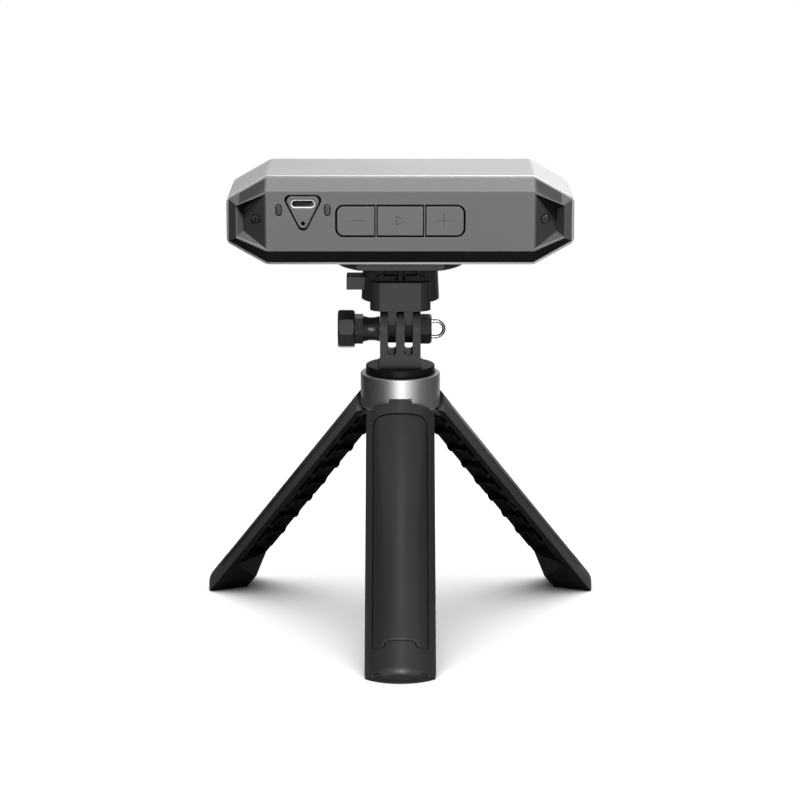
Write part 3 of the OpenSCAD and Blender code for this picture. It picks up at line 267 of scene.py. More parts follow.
def brushed_streaks(tree, given):
    """Long fine streaks, as a height, and a slow drift of tone."""
    place = coords(tree)
    along = vectors(tree, "MULTIPLY", place, given["Stretch"])
    streaks = add(tree, "ShaderNodeTexNoise", {"Vector": along, "Scale": given["Scale"], "Detail": 4.0})
    slow = add(tree, "ShaderNodeTexNoise", {"Vector": place, "Scale": 30.0, "Detail": 1.0})
    return {"Height": streaks.outputs[0], "Tone": slow.outputs[0]}


def drift_and_edge_light(tree, given):
    """Colour that drifts a little with the tone, with a painted highlight that lightens the edges."""
    swing = maths(tree, "MULTIPLY", maths(tree, "SUBTRACT", given["Tone"], 0.5), given["Drift"])
    # painted highlight: lightens the colour along the edges, where light would catch them
    edge_highlight = maths(tree, "MULTIPLY", given["Edge"], given["Lift"])
    gain = maths(tree, "ADD", maths(tree, "ADD", swing, edge_highlight), 1.0)
    return {"Color": vectors(tree, "SCALE", given["Color"], gain)}


def facet_shade(tree, given):
    """Painted shade by facing, for the rear cover and the mount, and painted shade in the cover's pockets and
    grooves.
    """
    facing = xyz(tree, coords(tree, "Normal"))
    place = xyz(tree, vectors(tree, "SUBTRACT", coords(tree), (0, PANEL_Y * MM, BODY_MID * MM)))
    out, down = (maths(tree, "MULTIPLY", facing[axis], -1.0) for axis in "YZ")
    across = maths(tree, "ABSOLUTE", place["X"])
    aside = maths(tree, "MULTIPLY", facing["X"], maths(tree, "SIGN", place["X"]))
    sunk = ramp(tree, place["Y"], *SUNK)
    steep_or_flat = maths(tree, "MAXIMUM", ramp(tree, out, 0.4, 0.7, 1.0, 0.0), ramp(tree, out, 0.955, 0.985))
    pocket = maths(tree, "MULTIPLY", ramp(tree, across, *POCKET_IN), ramp(tree, across, *POCKET_OUT, 1.0, 0.0))
    # each mask paints shade into the colour by facing, depth or place; a level above 1 paints light there instead
    masks = {
        "Side": ramp(tree, aside, 0.12, 0.3),
        "Low": ramp(tree, down, 0.15, 0.45),
        "High": ramp(tree, facing["Z"], 0.15, 0.45),
        "Deep": maths(tree, "MULTIPLY", steep_or_flat, sunk),
        "Pocket": maths(tree, "MULTIPLY", pocket, ramp(tree, aside, 0.2, 0.3)),
    }
    masks["Corner"] = maths(tree, "MULTIPLY", masks["Side"], masks["High"])
    tone = 1.0
    for name, mask in masks.items():
        tone = maths(tree, "MULTIPLY", ramp(tree, mask, 0.0, 1.0, 1.0, given[name], "LINEAR"), tone)
    return {"Tone": tone}


def flank_shade(tree, given):
    """Painted shade on the flat flanks of the legs."""
    facing = xyz(tree, coords(tree, "Normal"))
    across, up = (maths(tree, "ABSOLUTE", facing[axis]) for axis in "XZ")
    flank = maths(tree, "MULTIPLY", ramp(tree, across, 0.3, 0.45), ramp(tree, up, 0.04, 0.12, 1.0, 0.0))
    return {"Tone": ramp(tree, flank, 0.0, 1.0, 1.0, given["Dark"], "LINEAR")}


def level_shade(tree, given):
    """Painted shade that darkens the colour below a height."""
    over = maths(tree, "SUBTRACT", xyz(tree, coords(tree))["Z"], given["Level"])
    return {"Tone": ramp(tree, over, -0.0003, 0.0003, given["Dark"], 1.0)}


def crevice_shade(tree, given):
    """Painted shade where other surfaces stand close."""
    open_sky = add(tree, "ShaderNodeAmbientOcclusion", {"Distance": given["Reach"]}, samples=8).outputs["AO"]
    return {"Tone": ramp(tree, open_sky, 0.15, 0.85, given["Dark"], 1.0, "LINEAR")}


TONE = {"Tone": FLOAT}
RELIEF = {"Height": FLOAT, "Tone": FLOAT}
# the facet, flank, level and crevice tones paint shade into colours; the drift group paints a highlight on edges
EFFECTS = {
    "Soft Edge": (soft_edge, {"Normal": VECTOR, "Edge": FLOAT}, {"Radius": 0.0003}),
    "Moulded Grain": (moulded_grain, RELIEF, {"Scale": 3000.0, "Slow": 25.0}),
    "Brushed Streaks": (brushed_streaks, RELIEF, {"Scale": 900.0, "Stretch": (1.0, 0.03, 1.0)}),
    "Drift And Edge Light": (drift_and_edge_light, {"Color": COLOUR},
                   {"Color": (0.5, 0.5, 0.5, 1.0), "Tone": 0.5, "Edge": 0.0, "Drift": 0.1, "Lift": 0.3}),
    "Facet Tone": (facet_shade, TONE,
                   {"Side": 1.0, "Low": 1.0, "High": 1.0, "Corner": 1.0, "Deep": 0.2, "Pocket": 1.0}),
    "Flank Tone": (flank_shade, TONE, {"Dark": 0.1}),
    "Level Tone": (level_shade, TONE, {"Level": 0.1, "Dark": 0.3}),
    "Crevice Tone": (crevice_shade, TONE, {"Reach": 0.003, "Dark": 0.3}),
}
GROUPS = {}


def group(tree, name, inputs):
    """A shared effect placed in a material's tree."""
    if name not in GROUPS:
        maker, outputs, defaults = EFFECTS[name]
        GROUPS[name], given, result = new_tree(name, "ShaderNodeTree", defaults, outputs)
        fill(GROUPS[name], result, maker(GROUPS[name], given))
    return add(tree, "ShaderNodeGroup", inputs, node_tree=GROUPS[name]).outputs


# Finishes


def bare(name):
    """A material without nodes, and its tree."""
    material = bpy.data.materials.new(name)
    material.use_nodes = True
    material.node_tree.nodes.clear()
    return material, material.node_tree


def blank(name):
    """A material of one shader, its tree and the shader's inputs."""
    material, tree = bare(name)
    shader = add(tree, "ShaderNodeBsdfPrincipled")
    add(tree, "ShaderNodeOutputMaterial", {"Surface": shader.outputs[0]})
    return material, tree, shader.inputs


def dress(tree, looks, colour, texture, rough, edge, bump, lift, swing, drift, **tones):
    """Colour, roughness and relief shared by the solid finishes, with a painted highlight on the edges; tones are
    shared effects that paint shade into the colour.
    """
    soft = group(tree, "Soft Edge", {"Radius": edge})
    painted = group(tree, "Drift And Edge Light", {"Color": (*colour, 1), "Tone": texture["Tone"], "Edge": soft["Edge"],
                                         "Drift": drift, "Lift": lift})["Color"]
    for name, inputs in tones.items():
        painted = vectors(tree, "SCALE", painted, group(tree, name.title() + " Tone", inputs)["Tone"])
    spread = ramp(tree, texture["Tone"], 0.3, 0.7, rough - swing, rough + swing, "LINEAR")
    relief = add(tree, "ShaderNodeBump", {"Height": texture["Height"], "Normal": soft["Normal"], "Strength": bump,
                                          "Distance": 0.00004})
    fill(tree, looks, {"Base Color": painted, "Roughness": spread, "Normal": relief.outputs[0]})


def plastic(name, colour, rough=0.5, grain=2600.0, bump=0.25, edge=0.00025, specular=0.15, lift=0.25, **tones):
    material, tree, looks = blank(name)
    texture = group(tree, "Moulded Grain", {"Scale": grain, "Slow": 28.0})
    dress(tree, looks, colour, texture, rough, edge, bump, lift, swing=0.04, drift=0.1, **tones)
    fill(tree, looks, {"Specular IOR Level": specular})
    return material


def moulded(name, colour, **tones):
    """Satin plastic of the mount, with a painted highlight on its edges and painted shade in its corners and by
    facing.
    """
    return plastic(name, colour, rough=0.45, bump=0.2, edge=0.0003, specular=0.05, lift=0.9,
                   crevice={"Reach": 0.005, "Dark": 0.05}, facet={"Side": 0.5, "Low": 0.5, "Deep": 1.0}, **tones)


def metal(name, colour, rough=0.35, scale=900.0, stretch=(1.0, 0.03, 1.0), bump=0.12, edge=0.0003, lift=0.3,
          drift=0.06):
    material, tree, looks = blank(name)
    texture = group(tree, "Brushed Streaks", {"Scale": scale, "Stretch": stretch})
    dress(tree, looks, colour, texture, rough, edge, bump, lift, swing=0.03, drift=drift)
    fill(tree, looks, {"Metallic": 1.0})
    return material


def circuit(name, colour):
    """Solder resist with lighter tracks and pads."""
    material, tree, looks = blank(name)
    turned = add(tree, "ShaderNodeMapping", {"Vector": coords(tree), "Rotation": (math.pi / 2, 0, 0)}).outputs[0]
    gains = {"Color1": 1.0, "Color2": 0.8, "Mortar": 2.2}
    shades = {label: (*(gain * c for c in colour), 1) for label, gain in gains.items()}
    sizes = {"Scale": 260.0, "Mortar Size": 0.06}
    tracks = add(tree, "ShaderNodeTexBrick", {"Vector": turned, **sizes, **shades}).outputs
    relief = add(tree, "ShaderNodeBump", {"Height": tracks["Fac"], "Strength": 0.2, "Distance": 0.00003})
    fill(tree, looks, {"Base Color": tracks["Color"], "Normal": relief.outputs[0], "Roughness": 0.35})
    return material


def lens(name, colour):
    """Coated glass: dark, glossy, with a faint violet bloom that changes over the dome."""
    material, tree, looks = blank(name)
    texture = group(tree, "Moulded Grain", {"Scale": 60.0, "Slow": 40.0})
    bloom = add(tree, "ShaderNodeMix", {"Factor": texture["Tone"], 6: (*colour, 1), 7: (0.05, 0.02, 0.09, 1)},
                data_type="RGBA")
    fill(tree, looks, {"Base Color": bloom.outputs[2], "Roughness": 0.04, "Coat Weight": 1.0})
    return material


def window(name, colour):
    """Dark window with a black printed border and a clearer strip before the lenses."""
    material, tree, looks = blank(name)
    place = xyz(tree, vectors(tree, "SUBTRACT", coords(tree), (0, 0, BODY_MID * MM)))
    sides = [ramp(tree, maths(tree, "ABSOLUTE", place[axis]), *limits, kind="LINEAR")
             for axis, limits in (("X", BORDER_X), ("Z", BORDER_Z))]
    see = ramp(tree, maths(tree, "MAXIMUM", *sides), 0.0, 1.0, 0.38, 1.0, "LINEAR")
    texture = group(tree, "Moulded Grain", {"Scale": 500.0, "Slow": 20.0})
    tone = group(tree, "Drift And Edge Light", {"Color": (*colour, 1), "Tone": texture["Tone"], "Drift": 0.4, "Lift": 0.0})
    fill(tree, looks, {"Base Color": tone["Color"], "Roughness": 0.06, "Alpha": see})
    return material


def finish_table():
    """Maker, colour and values of every finish."""
    house, mount, tripod = (getattr(bpy.context.scene, "scanner_" + part) for part in ("housing", "mount", "tripod"))
    return {
        "silver_band": (metal, house.silver, dict(rough=0.42, scale=2400.0, stretch=(1, 1, 1), bump=0.1, drift=0.05)),
        # the cover paints shade by facing and in its pockets and grooves, less on the upper side facets
        "cover_grey": (plastic, house.cover, dict(
            rough=0.55, grain=3200.0, bump=0.22, edge=0.0003, specular=0.08, lift=0.3,
            facet={"Side": 0.5, "Low": 0.07, "High": 0.92, "Corner": 1.2, "Deep": 0.12, "Pocket": 0.42})),
        # the keys paint shade in the grooves round them
        "key_grey": (plastic, house.cover, dict(
            grain=3600.0, bump=0.16, edge=0.00022, specular=0.08, lift=0.2, facet={"Deep": 0.12})),
        "key_icon": (plastic, [c * 0.8 for c in house.cover], dict(grain=3600.0, bump=0.1, specular=0.08)),
        "light_lens": (plastic, house.light, dict(rough=0.2, grain=900.0, bump=0.05, edge=0.0002, specular=0.3)),
        "bezel_black": (plastic, house.bezel, dict(rough=0.22, grain=1500.0, bump=0.06, specular=0.4)),
        "steel": (metal, (0.55, 0.55, 0.56), dict(rough=0.28, edge=0.0001)),
        # the port shell's steel painted near white: a painted reflection
        "bright_steel": (plastic, (0.93, 0.93, 0.92), dict(rough=0.22, bump=0.02, edge=0.0001, specular=0.8)),
        "screw_steel": (metal, (0.07, 0.07, 0.072), dict(edge=0.0002)),
        "polished_steel": (metal, (0.17, 0.168, 0.16), dict(rough=0.2, bump=0.04, edge=0.0001)),
        "alloy": (metal, (0.5, 0.51, 0.53), dict(rough=0.5, stretch=(1, 1, 1), bump=0.3)),
        "brass": (metal, (0.7, 0.5, 0.2), dict(rough=0.3, edge=0.0001)),
        # the mount's finishes paint shade in corners and by facing; the plate, cup and post copies also paint shade
        # below a height
        "mount_grey": (moulded, mount.mount, {}),
        "plate_grey": (moulded, mount.mount, dict(level={"Level": PLATE_LEVEL, "Dark": 0.1})),
        "cup_grey": (moulded, mount.mount, dict(level={"Level": CUP_LEVEL, "Dark": 0.3})),
        "post_grey": (moulded, mount.mount, dict(level={"Level": POST_LEVEL, "Dark": 0.3})),
        # the knob paints a strong highlight on its edges
        "knob_black": (plastic, mount.knob, dict(
            rough=0.34, grain=1800.0, bump=0.08, edge=0.0004, specular=0.22, lift=1.2)),
        "collar_silver": (metal, tripod.collar, dict(
            rough=0.46, scale=1500.0, stretch=(0.03, 0.03, 1.0), bump=0.06, edge=0.00018, lift=0.0)),
        # the legs paint shade on their flanks and in crevices; the rear legs' copy is lighter in colour, painted
        # light
        "leg_grey": (plastic, tripod.leg, dict(
            rough=0.34, grain=2400.0, bump=0.1, edge=0.0003, specular=0.2, lift=0.5,
            crevice={"Reach": 0.005, "Dark": 0.25}, flank={"Dark": 0.15})),
        "rear_leg_grey": (plastic, [1.6 * c for c in tripod.leg], dict(
            grain=2400.0, bump=0.1, edge=0.0003, specular=0.05, lift=0.5,
            crevice={"Reach": 0.005, "Dark": 0.2}, flank={"Dark": 0.08})),
        "grip_grey": (plastic, tripod.grip, dict(rough=0.38, grain=3400.0, bump=0.16, edge=0.0003, specular=0.25)),
        "sole_rubber": (plastic, tripod.sole, dict(rough=0.62, grain=1600.0, bump=0.35, edge=0.0003)),
        "pad_rubber": (plastic, (0.03, 0.03, 0.03), dict(rough=0.7, grain=1200.0, bump=0.4)),
        "hub_black": (plastic, (0.02, 0.02, 0.02), {}),
        "switch_black": (plastic, (0.03, 0.03, 0.03), {}),
        "optics_black": (plastic, (0.02, 0.02, 0.02), dict(rough=0.6, grain=1500.0, bump=0.3)),
        "fill_white": (plastic, (0.8, 0.78, 0.7), dict(rough=0.4, grain=900.0, bump=0.1)),
        "washer_white": (plastic, (0.75, 0.73, 0.68), dict(rough=0.45)),
        "flex_amber": (plastic, (0.5, 0.25, 0.04), dict(rough=0.35, grain=700.0, bump=0.1)),
        "board_green": (circuit, (0.03, 0.14, 0.07), {}),
        "lens_glass": (lens, (0.01, 0.014, 0.03), {}),
        "window_glass": (window, (0.012, 0.012, 0.014), {}),
    }


FINISHES = {}


def finish(slot):
    """The material of a slot of the record or of a look, made once."""
    if slot not in FINISHES:
        maker, colour, values = finish_table()[slot]
        FINISHES[slot] = maker(slot, colour, **values)
    return FINISHES[slot]


# Pieces


def shade(bm, crease):
    """Smooth faces with sharp creases."""
    for face in bm.faces:
        face.smooth = True
    for edge in bm.edges:
        if len(edge.link_faces) == 2:
            edge.smooth = edge.calc_face_angle(0) < crease


def closed(bm, crease=None):
    """Turns the faces of a made shape outwards, and shades it where a crease is given."""
    bmesh.ops.recalc_face_normals(bm, faces=bm.faces)
    if crease:
        shade(bm, crease)
    return bm


def linked(name, data):
    """A new object in the scene, of a finished bmesh or of other data."""
    if isinstance(data, bmesh.types.BMesh):
        bm, data = data, bpy.data.meshes.new(name)
        bm.to_mesh(data)
        bm.free()
    made = bpy.data.objects.new(name, data)
    bpy.context.scene.collection.objects.link(made)
    return made


def place_piece(name, shape, slot, body, *nodes, look=None):
    """Makes an object of a finished shape, says what it rides on, and hides the solids it stands in for."""
    piece = linked(name, shape)
    piece.data.materials.clear()
    piece.data.materials.append(finish(look or slot))
    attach(piece, body)
    if nodes:
        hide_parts(*nodes)
    return piece


def smooth_copy(node, slot, edge=0.0, weld=0.0, look=None, crease=CREASE):
    """A copy of a solid with its facets joined, its edges rounded and its curves shaded smooth."""
    bm = bmesh.new()
    bm.from_mesh(NODES[node].data)
    bmesh.ops.remove_doubles(bm, verts=bm.verts, dist=WELD)
    bmesh.ops.dissolve_limit(bm, angle_limit=FLAT, verts=bm.verts, edges=bm.edges)
    if weld:
        bmesh.ops.remove_doubles(bm, verts=bm.verts, dist=weld)
        bmesh.ops.dissolve_degenerate(bm, dist=weld / 4, edges=bm.edges)
    if edge:
        creases = [e for e in bm.edges if e.calc_face_angle(0) > CREASE]
        bmesh.ops.bevel(bm, geom=creases, offset=edge, offset_type="OFFSET", segments=3, profile=0.5,
                        affect="EDGES", clamp_overlap=True)
    shade(bm, crease)
    piece = place_piece(node + "_finished", bm, slot, BODY_OF[node], node, look=look)
    piece.modifiers.new("Even normals", "WEIGHTED_NORMAL").keep_sharp = True


def repaint(slot, *nodes):
    """Gives solids that keep their shape the finish of a slot."""
    for node in nodes:
        NODES[node].data.materials.clear()
        NODES[node].data.materials.append(finish(slot))


def lathe(bm, profile, steps, turn):
    """Adds a closed turned shape; profile runs (radius, height) round its section."""
    rings = []
    for k in range(steps):
        a = 2 * math.pi * k / steps
        rings.append([bm.verts.new(turn @ Vector((r * math.cos(a), r * math.sin(a), h))) for r, h in profile])
    for k in range(steps):
        here, there = rings[k], rings[(k + 1) % steps]
        for j in range(len(profile)):
            n = (j + 1) % len(profile)
            bm.faces.new((here[j], there[j], there[n], here[n]))


def grown(name, tree, values, source=None):
    """Runs a geometry tree and returns its result as a plain mesh."""
    holder = linked(name, source or bpy.data.meshes.new(name))
    modifier = holder.modifiers.new("Grow", "NODES")
    modifier.node_group = tree
    for item in tree.interface.items_tree:
        if item.item_type == "SOCKET" and item.in_out == "INPUT" and item.name in values:
            modifier[item.identifier] = values[item.name]
    mesh = bpy.data.meshes.new_from_object(holder.evaluated_get(bpy.context.evaluated_depsgraph_get()))
    bpy.data.objects.remove(holder)
    return mesh


def grow_tree(name, inputs):
    """A geometry tree that takes and gives one geometry, and has a finish."""
    return new_tree(name, "GeometryNodeTree", {"Geometry": GEOMETRY, **inputs, "Finish": MATERIAL},
                    {"Geometry": GEOMETRY})


def end_tree(tree, given, result, last):
    """Ends a geometry tree with real faces in one finish."""
    real = add(tree, "GeometryNodeRealizeInstances", {0: last.outputs[0]})
    painted = add(tree, "GeometryNodeSetMaterial", {0: real.outputs[0], "Material": given["Finish"]})
    fill(tree, result, {0: painted.outputs[0]})
    return tree


def tube(tree, path, sides, radius):
    """Round wire along a curve."""
    section = add(tree, "GeometryNodeCurvePrimitiveCircle", {"Resolution": sides, "Radius": radius})
    skin = add(tree, "GeometryNodeCurveToMesh", {0: path.outputs[0], 1: section.outputs[0], "Fill Caps": True})
    return add(tree, "GeometryNodeSetShadeSmooth", {0: skin.outputs[0]})


def contact_tree():
    """A row of flat contacts."""
    tree, given, result = grow_tree("Contact row", {"Count": 12, "Pitch": 0.0005, "Size": (0.0003, 0.003, 0.00004)})
    span = maths(tree, "MULTIPLY", maths(tree, "SUBTRACT", given["Count"], 1.0), given["Pitch"])
    start, step = (add(tree, "ShaderNodeCombineXYZ", {"X": x}).outputs[0]
                   for x in (maths(tree, "MULTIPLY", span, -0.5), given["Pitch"]))
    row = add(tree, "GeometryNodeMeshLine", {"Count": given["Count"], "Start Location": start, "Offset": step})
    strip = add(tree, "GeometryNodeMeshCube", {"Size": given["Size"]})
    copies = add(tree, "GeometryNodeInstanceOnPoints", {"Points": row.outputs[0], "Instance": strip.outputs[0]})
    return end_tree(tree, given, result, copies)


def wire_tree():
    """Round wire along a path of edges."""
    tree, given, result = grow_tree("Wire", {"Radius": 0.0005})
    path = add(tree, "GeometryNodeMeshToCurve", {0: given["Geometry"]})
    return end_tree(tree, given, result, tube(tree, path, 20, given["Radius"]))


def coil_tree():
    """A coil of round wire that stands up from the origin."""
    tree, given, result = grow_tree("Coil", {"Turns": 9.0, "Radius": 0.001, "Wire": 0.0003, "Length": 0.01})
    spiral = add(tree, "GeometryNodeCurveSpiral", {
        "Resolution": 24, "Rotations": given["Turns"], "Start Radius": given["Radius"], "End Radius": given["Radius"],
        "Height": given["Length"]})
    return end_tree(tree, given, result, tube(tree, spiral, 10, given["Wire"]))


def screw_tree():
    """One screw set at every point."""
    tree, given, result = grow_tree("Screws", {"Screw": OBJECT})
    shape = add(tree, "GeometryNodeObjectInfo", {"Object": given["Screw"]}).outputs["Geometry"]
    copies = add(tree, "GeometryNodeInstanceOnPoints", {"Points": given["Geometry"], "Instance": shape})
    return end_tree(tree, given, result, copies)


def at_axis(x, y, z):
    """A point given in millimetres from the tripod axis, in metres of the frame."""
    return Vector((x, y + AXIS_Y, z)) * MM


class Undoable:
    """Options shared by the operators."""

    bl_options = {"REGISTER", "UNDO"}


class SCANNER_OT_housing(Undoable, Operator):
    """Silver band and grey rear cover"""

    bl_idname = "scanner.housing"
    bl_label = "Housing"

    def execute(self, context):
        smooth_copy("band_shell", "silver_band", edge=context.scene.scanner_housing.band_edge)
        smooth_copy("rear_cover", "cover_grey", crease=COVER_CREASE)
        return {"FINISHED"}


class SCANNER_OT_keys(Undoable, Operator):
    """Three keys with engraved marks, and their switches"""

    bl_idname = "scanner.keys"
    bl_label = "Keys"

    def execute(self, context):
        for node in ("key_minus", "key_play", "key_plus"):
            smooth_copy(node, "key_grey", edge=context.scene.scanner_housing.key_edge)
            self.inlay(node)
        repaint("switch_black", "key_switches")
        return {"FINISHED"}

    def inlay(self, node):
        """Fills the engraved mark of a key to just below its face."""
        floor_y, near, rise = (PANEL_Y + 0.15) * MM, 0.1 * MM, 0.2 * MM
        bm = bmesh.new()
        bm.from_mesh(NODES[node].data)
        rest = [f for f in bm.faces if f.normal.y > -0.99 or abs(f.calc_center_median().y - floor_y) > near]
        bmesh.ops.delete(bm, geom=rest, context="FACES")
        bmesh.ops.remove_doubles(bm, verts=bm.verts, dist=WELD)
        raised = bmesh.ops.extrude_face_region(bm, geom=bm.faces[:])["geom"]
        bmesh.ops.translate(bm, vec=(0, -rise, 0), verts=[v for v in raised if isinstance(v, bmesh.types.BMVert)])
        place_piece(node + "_mark", closed(bm), "key_grey", BODY_OF[node], look="key_icon")


class SCANNER_OT_port(Undoable, Operator):
    """Port shell, tongue and its two rows of contacts"""

    bl_idname = "scanner.port"
    bl_label = "Port"

    def execute(self, context):
        house = context.scene.scanner_housing
        # the port shell is painted near white, a painted reflection
        smooth_copy("port_shell", "steel", edge=0.00012, look="bright_steel")
        smooth_copy("port_tongue", "switch_black", edge=0.0001)
        low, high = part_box("port_tongue")
        wide, length, thick, inset = 0.00028, 0.0028, 0.00005, 0.0003
        row = grown("contact_row", contact_tree(), {"Count": house.contact_count, "Pitch": house.contact_pitch,
                                                    "Size": (wide, length, thick), "Finish": finish("brass")})
        bm = bmesh.new()
        for z in (low.z, high.z):
            start = len(bm.verts)
            bm.from_mesh(row)
            bm.verts.ensure_lookup_table()
            middle = ((low.x + high.x) / 2, low.y + inset + length / 2, z)
            bmesh.ops.translate(bm, verts=bm.verts[start:], vec=middle)
        place_piece("port_contacts", bm, "brass", "scanner")
        return {"FINISHED"}


class SCANNER_OT_status_lights(Undoable, Operator):
    """Two smoked status lights"""

    bl_idname = "scanner.status_lights"
    bl_label = "Status lights"

    def execute(self, context):
        smooth_copy("status_lights", "light_lens", edge=0.00025)
        return {"FINISHED"}


class SCANNER_OT_cover_screws(Undoable, Operator):
    """Cross-head screws in the two pockets of the rear cover"""

    bl_idname = "scanner.cover_screws"
    bl_label = "Cover screws"

    def execute(self, context):
        blank_screw = linked("blank_screw", self.turned())
        cross = linked("cross", self.blades())
        cut = blank_screw.modifiers.new("Cross", "BOOLEAN")
        cut.operation, cut.solver, cut.object, cut.use_self = "DIFFERENCE", "EXACT", cross, True
        points = bpy.data.meshes.new("screw_points")
        points.from_pydata([at_axis(s * SCREW_X, SCREW_SEAT, BODY_MID + SCREW_UP) for s in (-1, 1)], [], [])
        mesh = grown("cover_screw_set", screw_tree(), {"Screw": blank_screw, "Finish": finish("screw_steel")}, points)
        for helper in (blank_screw, cross):
            bpy.data.objects.remove(helper)
        place_piece("cover_screw_set", mesh, "steel", "scanner", "cover_screws", look="screw_steel")
        return {"FINISHED"}

    def turned(self):
        """The screw before its cross is cut."""
        head_r, shank_r, shank_l = 1.6, 0.8, 8.3
        dome = [(0.02, -SCREW_HEAD), (0.9, -SCREW_HEAD), (1.3, -1.1), (head_r, -0.75), (head_r, -0.02),
                (head_r - 0.05, 0), (shank_r, 0), (shank_r, shank_l - 0.4), (shank_r - 0.3, shank_l), (0.02, shank_l)]
        bm = bmesh.new()
        lathe(bm, dome, SCREW_STEPS, ALONG_Y)
        bmesh.ops.remove_doubles(bm, verts=bm.verts, dist=5e-5)
        return closed(bm, CREASE)

    def blades(self):
        """Two tapering blades that cut the cross."""
        size, taper = Matrix.Diagonal((2.1 * MM, 1.5 * MM, 0.46 * MM, 1)), 0.62
        top = -SCREW_HEAD * MM
        bm = bmesh.new()
        for turn in (0, math.pi / 2):
            place = Matrix.Rotation(turn, 4, "Y") @ Matrix.Translation((0, top, 0)) @ size
            for v in bmesh.ops.create_cube(bm, size=1, matrix=place)["verts"]:
                if v.co.y > top:
                    v.co.x, v.co.z = v.co.x * taper, v.co.z * taper
        return bm


class SCANNER_OT_inner_parts(Undoable, Operator):
    """Boards, chassis and other parts inside the housing and the mount"""

    bl_idname = "scanner.inner_parts"
    bl_label = "Inner parts"

    def execute(self, context):
        repaint("board_green", "port_board", "main_board")
        repaint("flex_amber", "flex_cable")
        repaint("steel", "board_screws", "plate_screw", "clamp_bolt", "turning_screw")
        repaint("screw_steel", "hinge_pins")
        repaint("alloy", "heat_sink", "chassis")
        repaint("brass", "tripod_bush")
        repaint("washer_white", "friction_washer")
        repaint("pad_rubber", "plate_pad")
        return {"FINISHED"}


class SCANNER_OT_optics(Undoable, Operator):
    """Cameras, projector, lenses with their rings, and fill lights"""

    bl_idname = "scanner.optics"
    bl_label = "Optics"

    def execute(self, context):
        for node in ("left_camera", "right_camera", "colour_camera", "projector"):
            smooth_copy(node, "optics_black", edge=0.00015)
        smooth_copy("lens_glass", "lens_glass")
        smooth_copy("fill_lights", "fill_white", edge=0.0002)
        bm = bmesh.new()
        for x, r in LENSES:
            ring = [(r - 1.5, 0), (r - 1.2, 0.45), (r - 0.5, 0.6), (r - 0.1, 0.45), (r, 0.2), (r, 0)]
            lathe(bm, ring, RING_STEPS, Matrix.Translation(at_axis(x, BARREL_Y, BODY_MID)) @ ALONG_Y)
        place_piece("lens_rings", closed(bm, CREASE), "alloy", "scanner")
        return {"FINISHED"}


class SCANNER_OT_front(Undoable, Operator):
    """Gloss front bezel and its dark window"""

    bl_idname = "scanner.front"
    bl_label = "Front"

    def execute(self, context):
        smooth_copy("front_bezel", "bezel_black", edge=0.0003, weld=3e-5)
        smooth_copy("front_glass", "window_glass", edge=0.0002)
        return {"FINISHED"}


class SCANNER_OT_quick_release(Undoable, Operator):
    """Quick-release plate, cup, push tab and its spring"""

    bl_idname = "scanner.quick_release"
    bl_label = "Quick release"

    def execute(self, context):
        mount = context.scene.scanner_mount
        wire = mount.spring_wire
        # the plate and cup finishes paint shade below a height
        smooth_copy("release_plate", "mount_grey", edge=0.00025, look="plate_grey")
        smooth_copy("release_cup", "mount_grey", look="cup_grey")
        smooth_copy("release_latch", "mount_grey", edge=0.0004)
        low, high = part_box("latch_spring")
        middle = (low + high) / 2
        coil = grown("latch_coil", coil_tree(), {
            "Turns": mount.spring_turns, "Radius": (high.z - low.z) / 2 - wire, "Wire": wire,
            "Length": high.x - low.x - 2 * wire, "Finish": finish("steel")})
        laid = Matrix.Rotation(math.pi / 2, 4, "Y")
        coil.transform(Matrix.Translation((low.x + wire, middle.y, middle.z)) @ laid)
        spring = place_piece("latch_coil", coil, "steel", "tilting_mount", "latch_spring")
        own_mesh(spring)
        return {"FINISHED"}


class SCANNER_OT_clamp(Undoable, Operator):
    """Clamp knob, cap nut and tether loop"""

    bl_idname = "scanner.clamp"
    bl_label = "Clamp"

    def execute(self, context):
        mount = context.scene.scanner_mount
        wire, bend = mount.wire_r, mount.loop_r
        smooth_copy("clamp_knob", "knob_black")
        smooth_copy("cap_nut", "knob_black")
        low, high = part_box("tether_loop")
        y, z = (low.y + high.y) / 2, (low.z + high.z) / 2
        bend_x = high.x - wire - bend
        steps = 28
        arc = [(bend_x + bend * math.cos(a), y, z + bend * math.sin(a))
               for a in (math.pi * (k / steps - 0.5) for k in range(steps + 1))]
        path = [(low.x, y, z - bend), *arc, (low.x, y, z + bend)]
        source = bpy.data.meshes.new("loop_path")
        source.from_pydata(path, [(k, k + 1) for k in range(len(path) - 1)], [])
        mesh = grown("tether_wire", wire_tree(), {"Radius": wire, "Finish": finish("polished_steel")}, source)
        place_piece("tether_wire", mesh, "polished_steel", "turning_head", "tether_loop")
        return {"FINISHED"}


class SCANNER_OT_turning_post(Undoable, Operator):
    """Turning disc with its three-prong post, and thin dark rings in its slots that stand for the shade in the gaps
    """

    bl_idname = "scanner.turning_post"
    bl_label = "Turning post"

    def execute(self, context):
        # the post's finish paints shade below a height, on the disc
        smooth_copy("turning_post", "mount_grey", look="post_grey")
        # thin dark rings in the gaps between prongs and fingers: dark sheets standing for shade
        bm = bmesh.new()
        inner, outer, half = 2.6, 7.1, 0.03
        ring = [(inner, -half), (outer, -half), (outer, half), (inner, half)]
        for x in SHADE_RING_X:
            lathe(bm, ring, RING_STEPS, Matrix.Translation(at_axis(x, 0, PIVOT_Z)) @ ALONG_X)
        place_piece("joint_shims", closed(bm), "pad_rubber", "turning_head")
        return {"FINISHED"}


class SCANNER_OT_collar(Undoable, Operator):
    """Silver collar and the hub inside it"""

    bl_idname = "scanner.collar"
    bl_label = "Collar"

    def execute(self, context):
        smooth_copy("collar", "collar_silver")
        smooth_copy("hub", "hub_black")
        return {"FINISHED"}


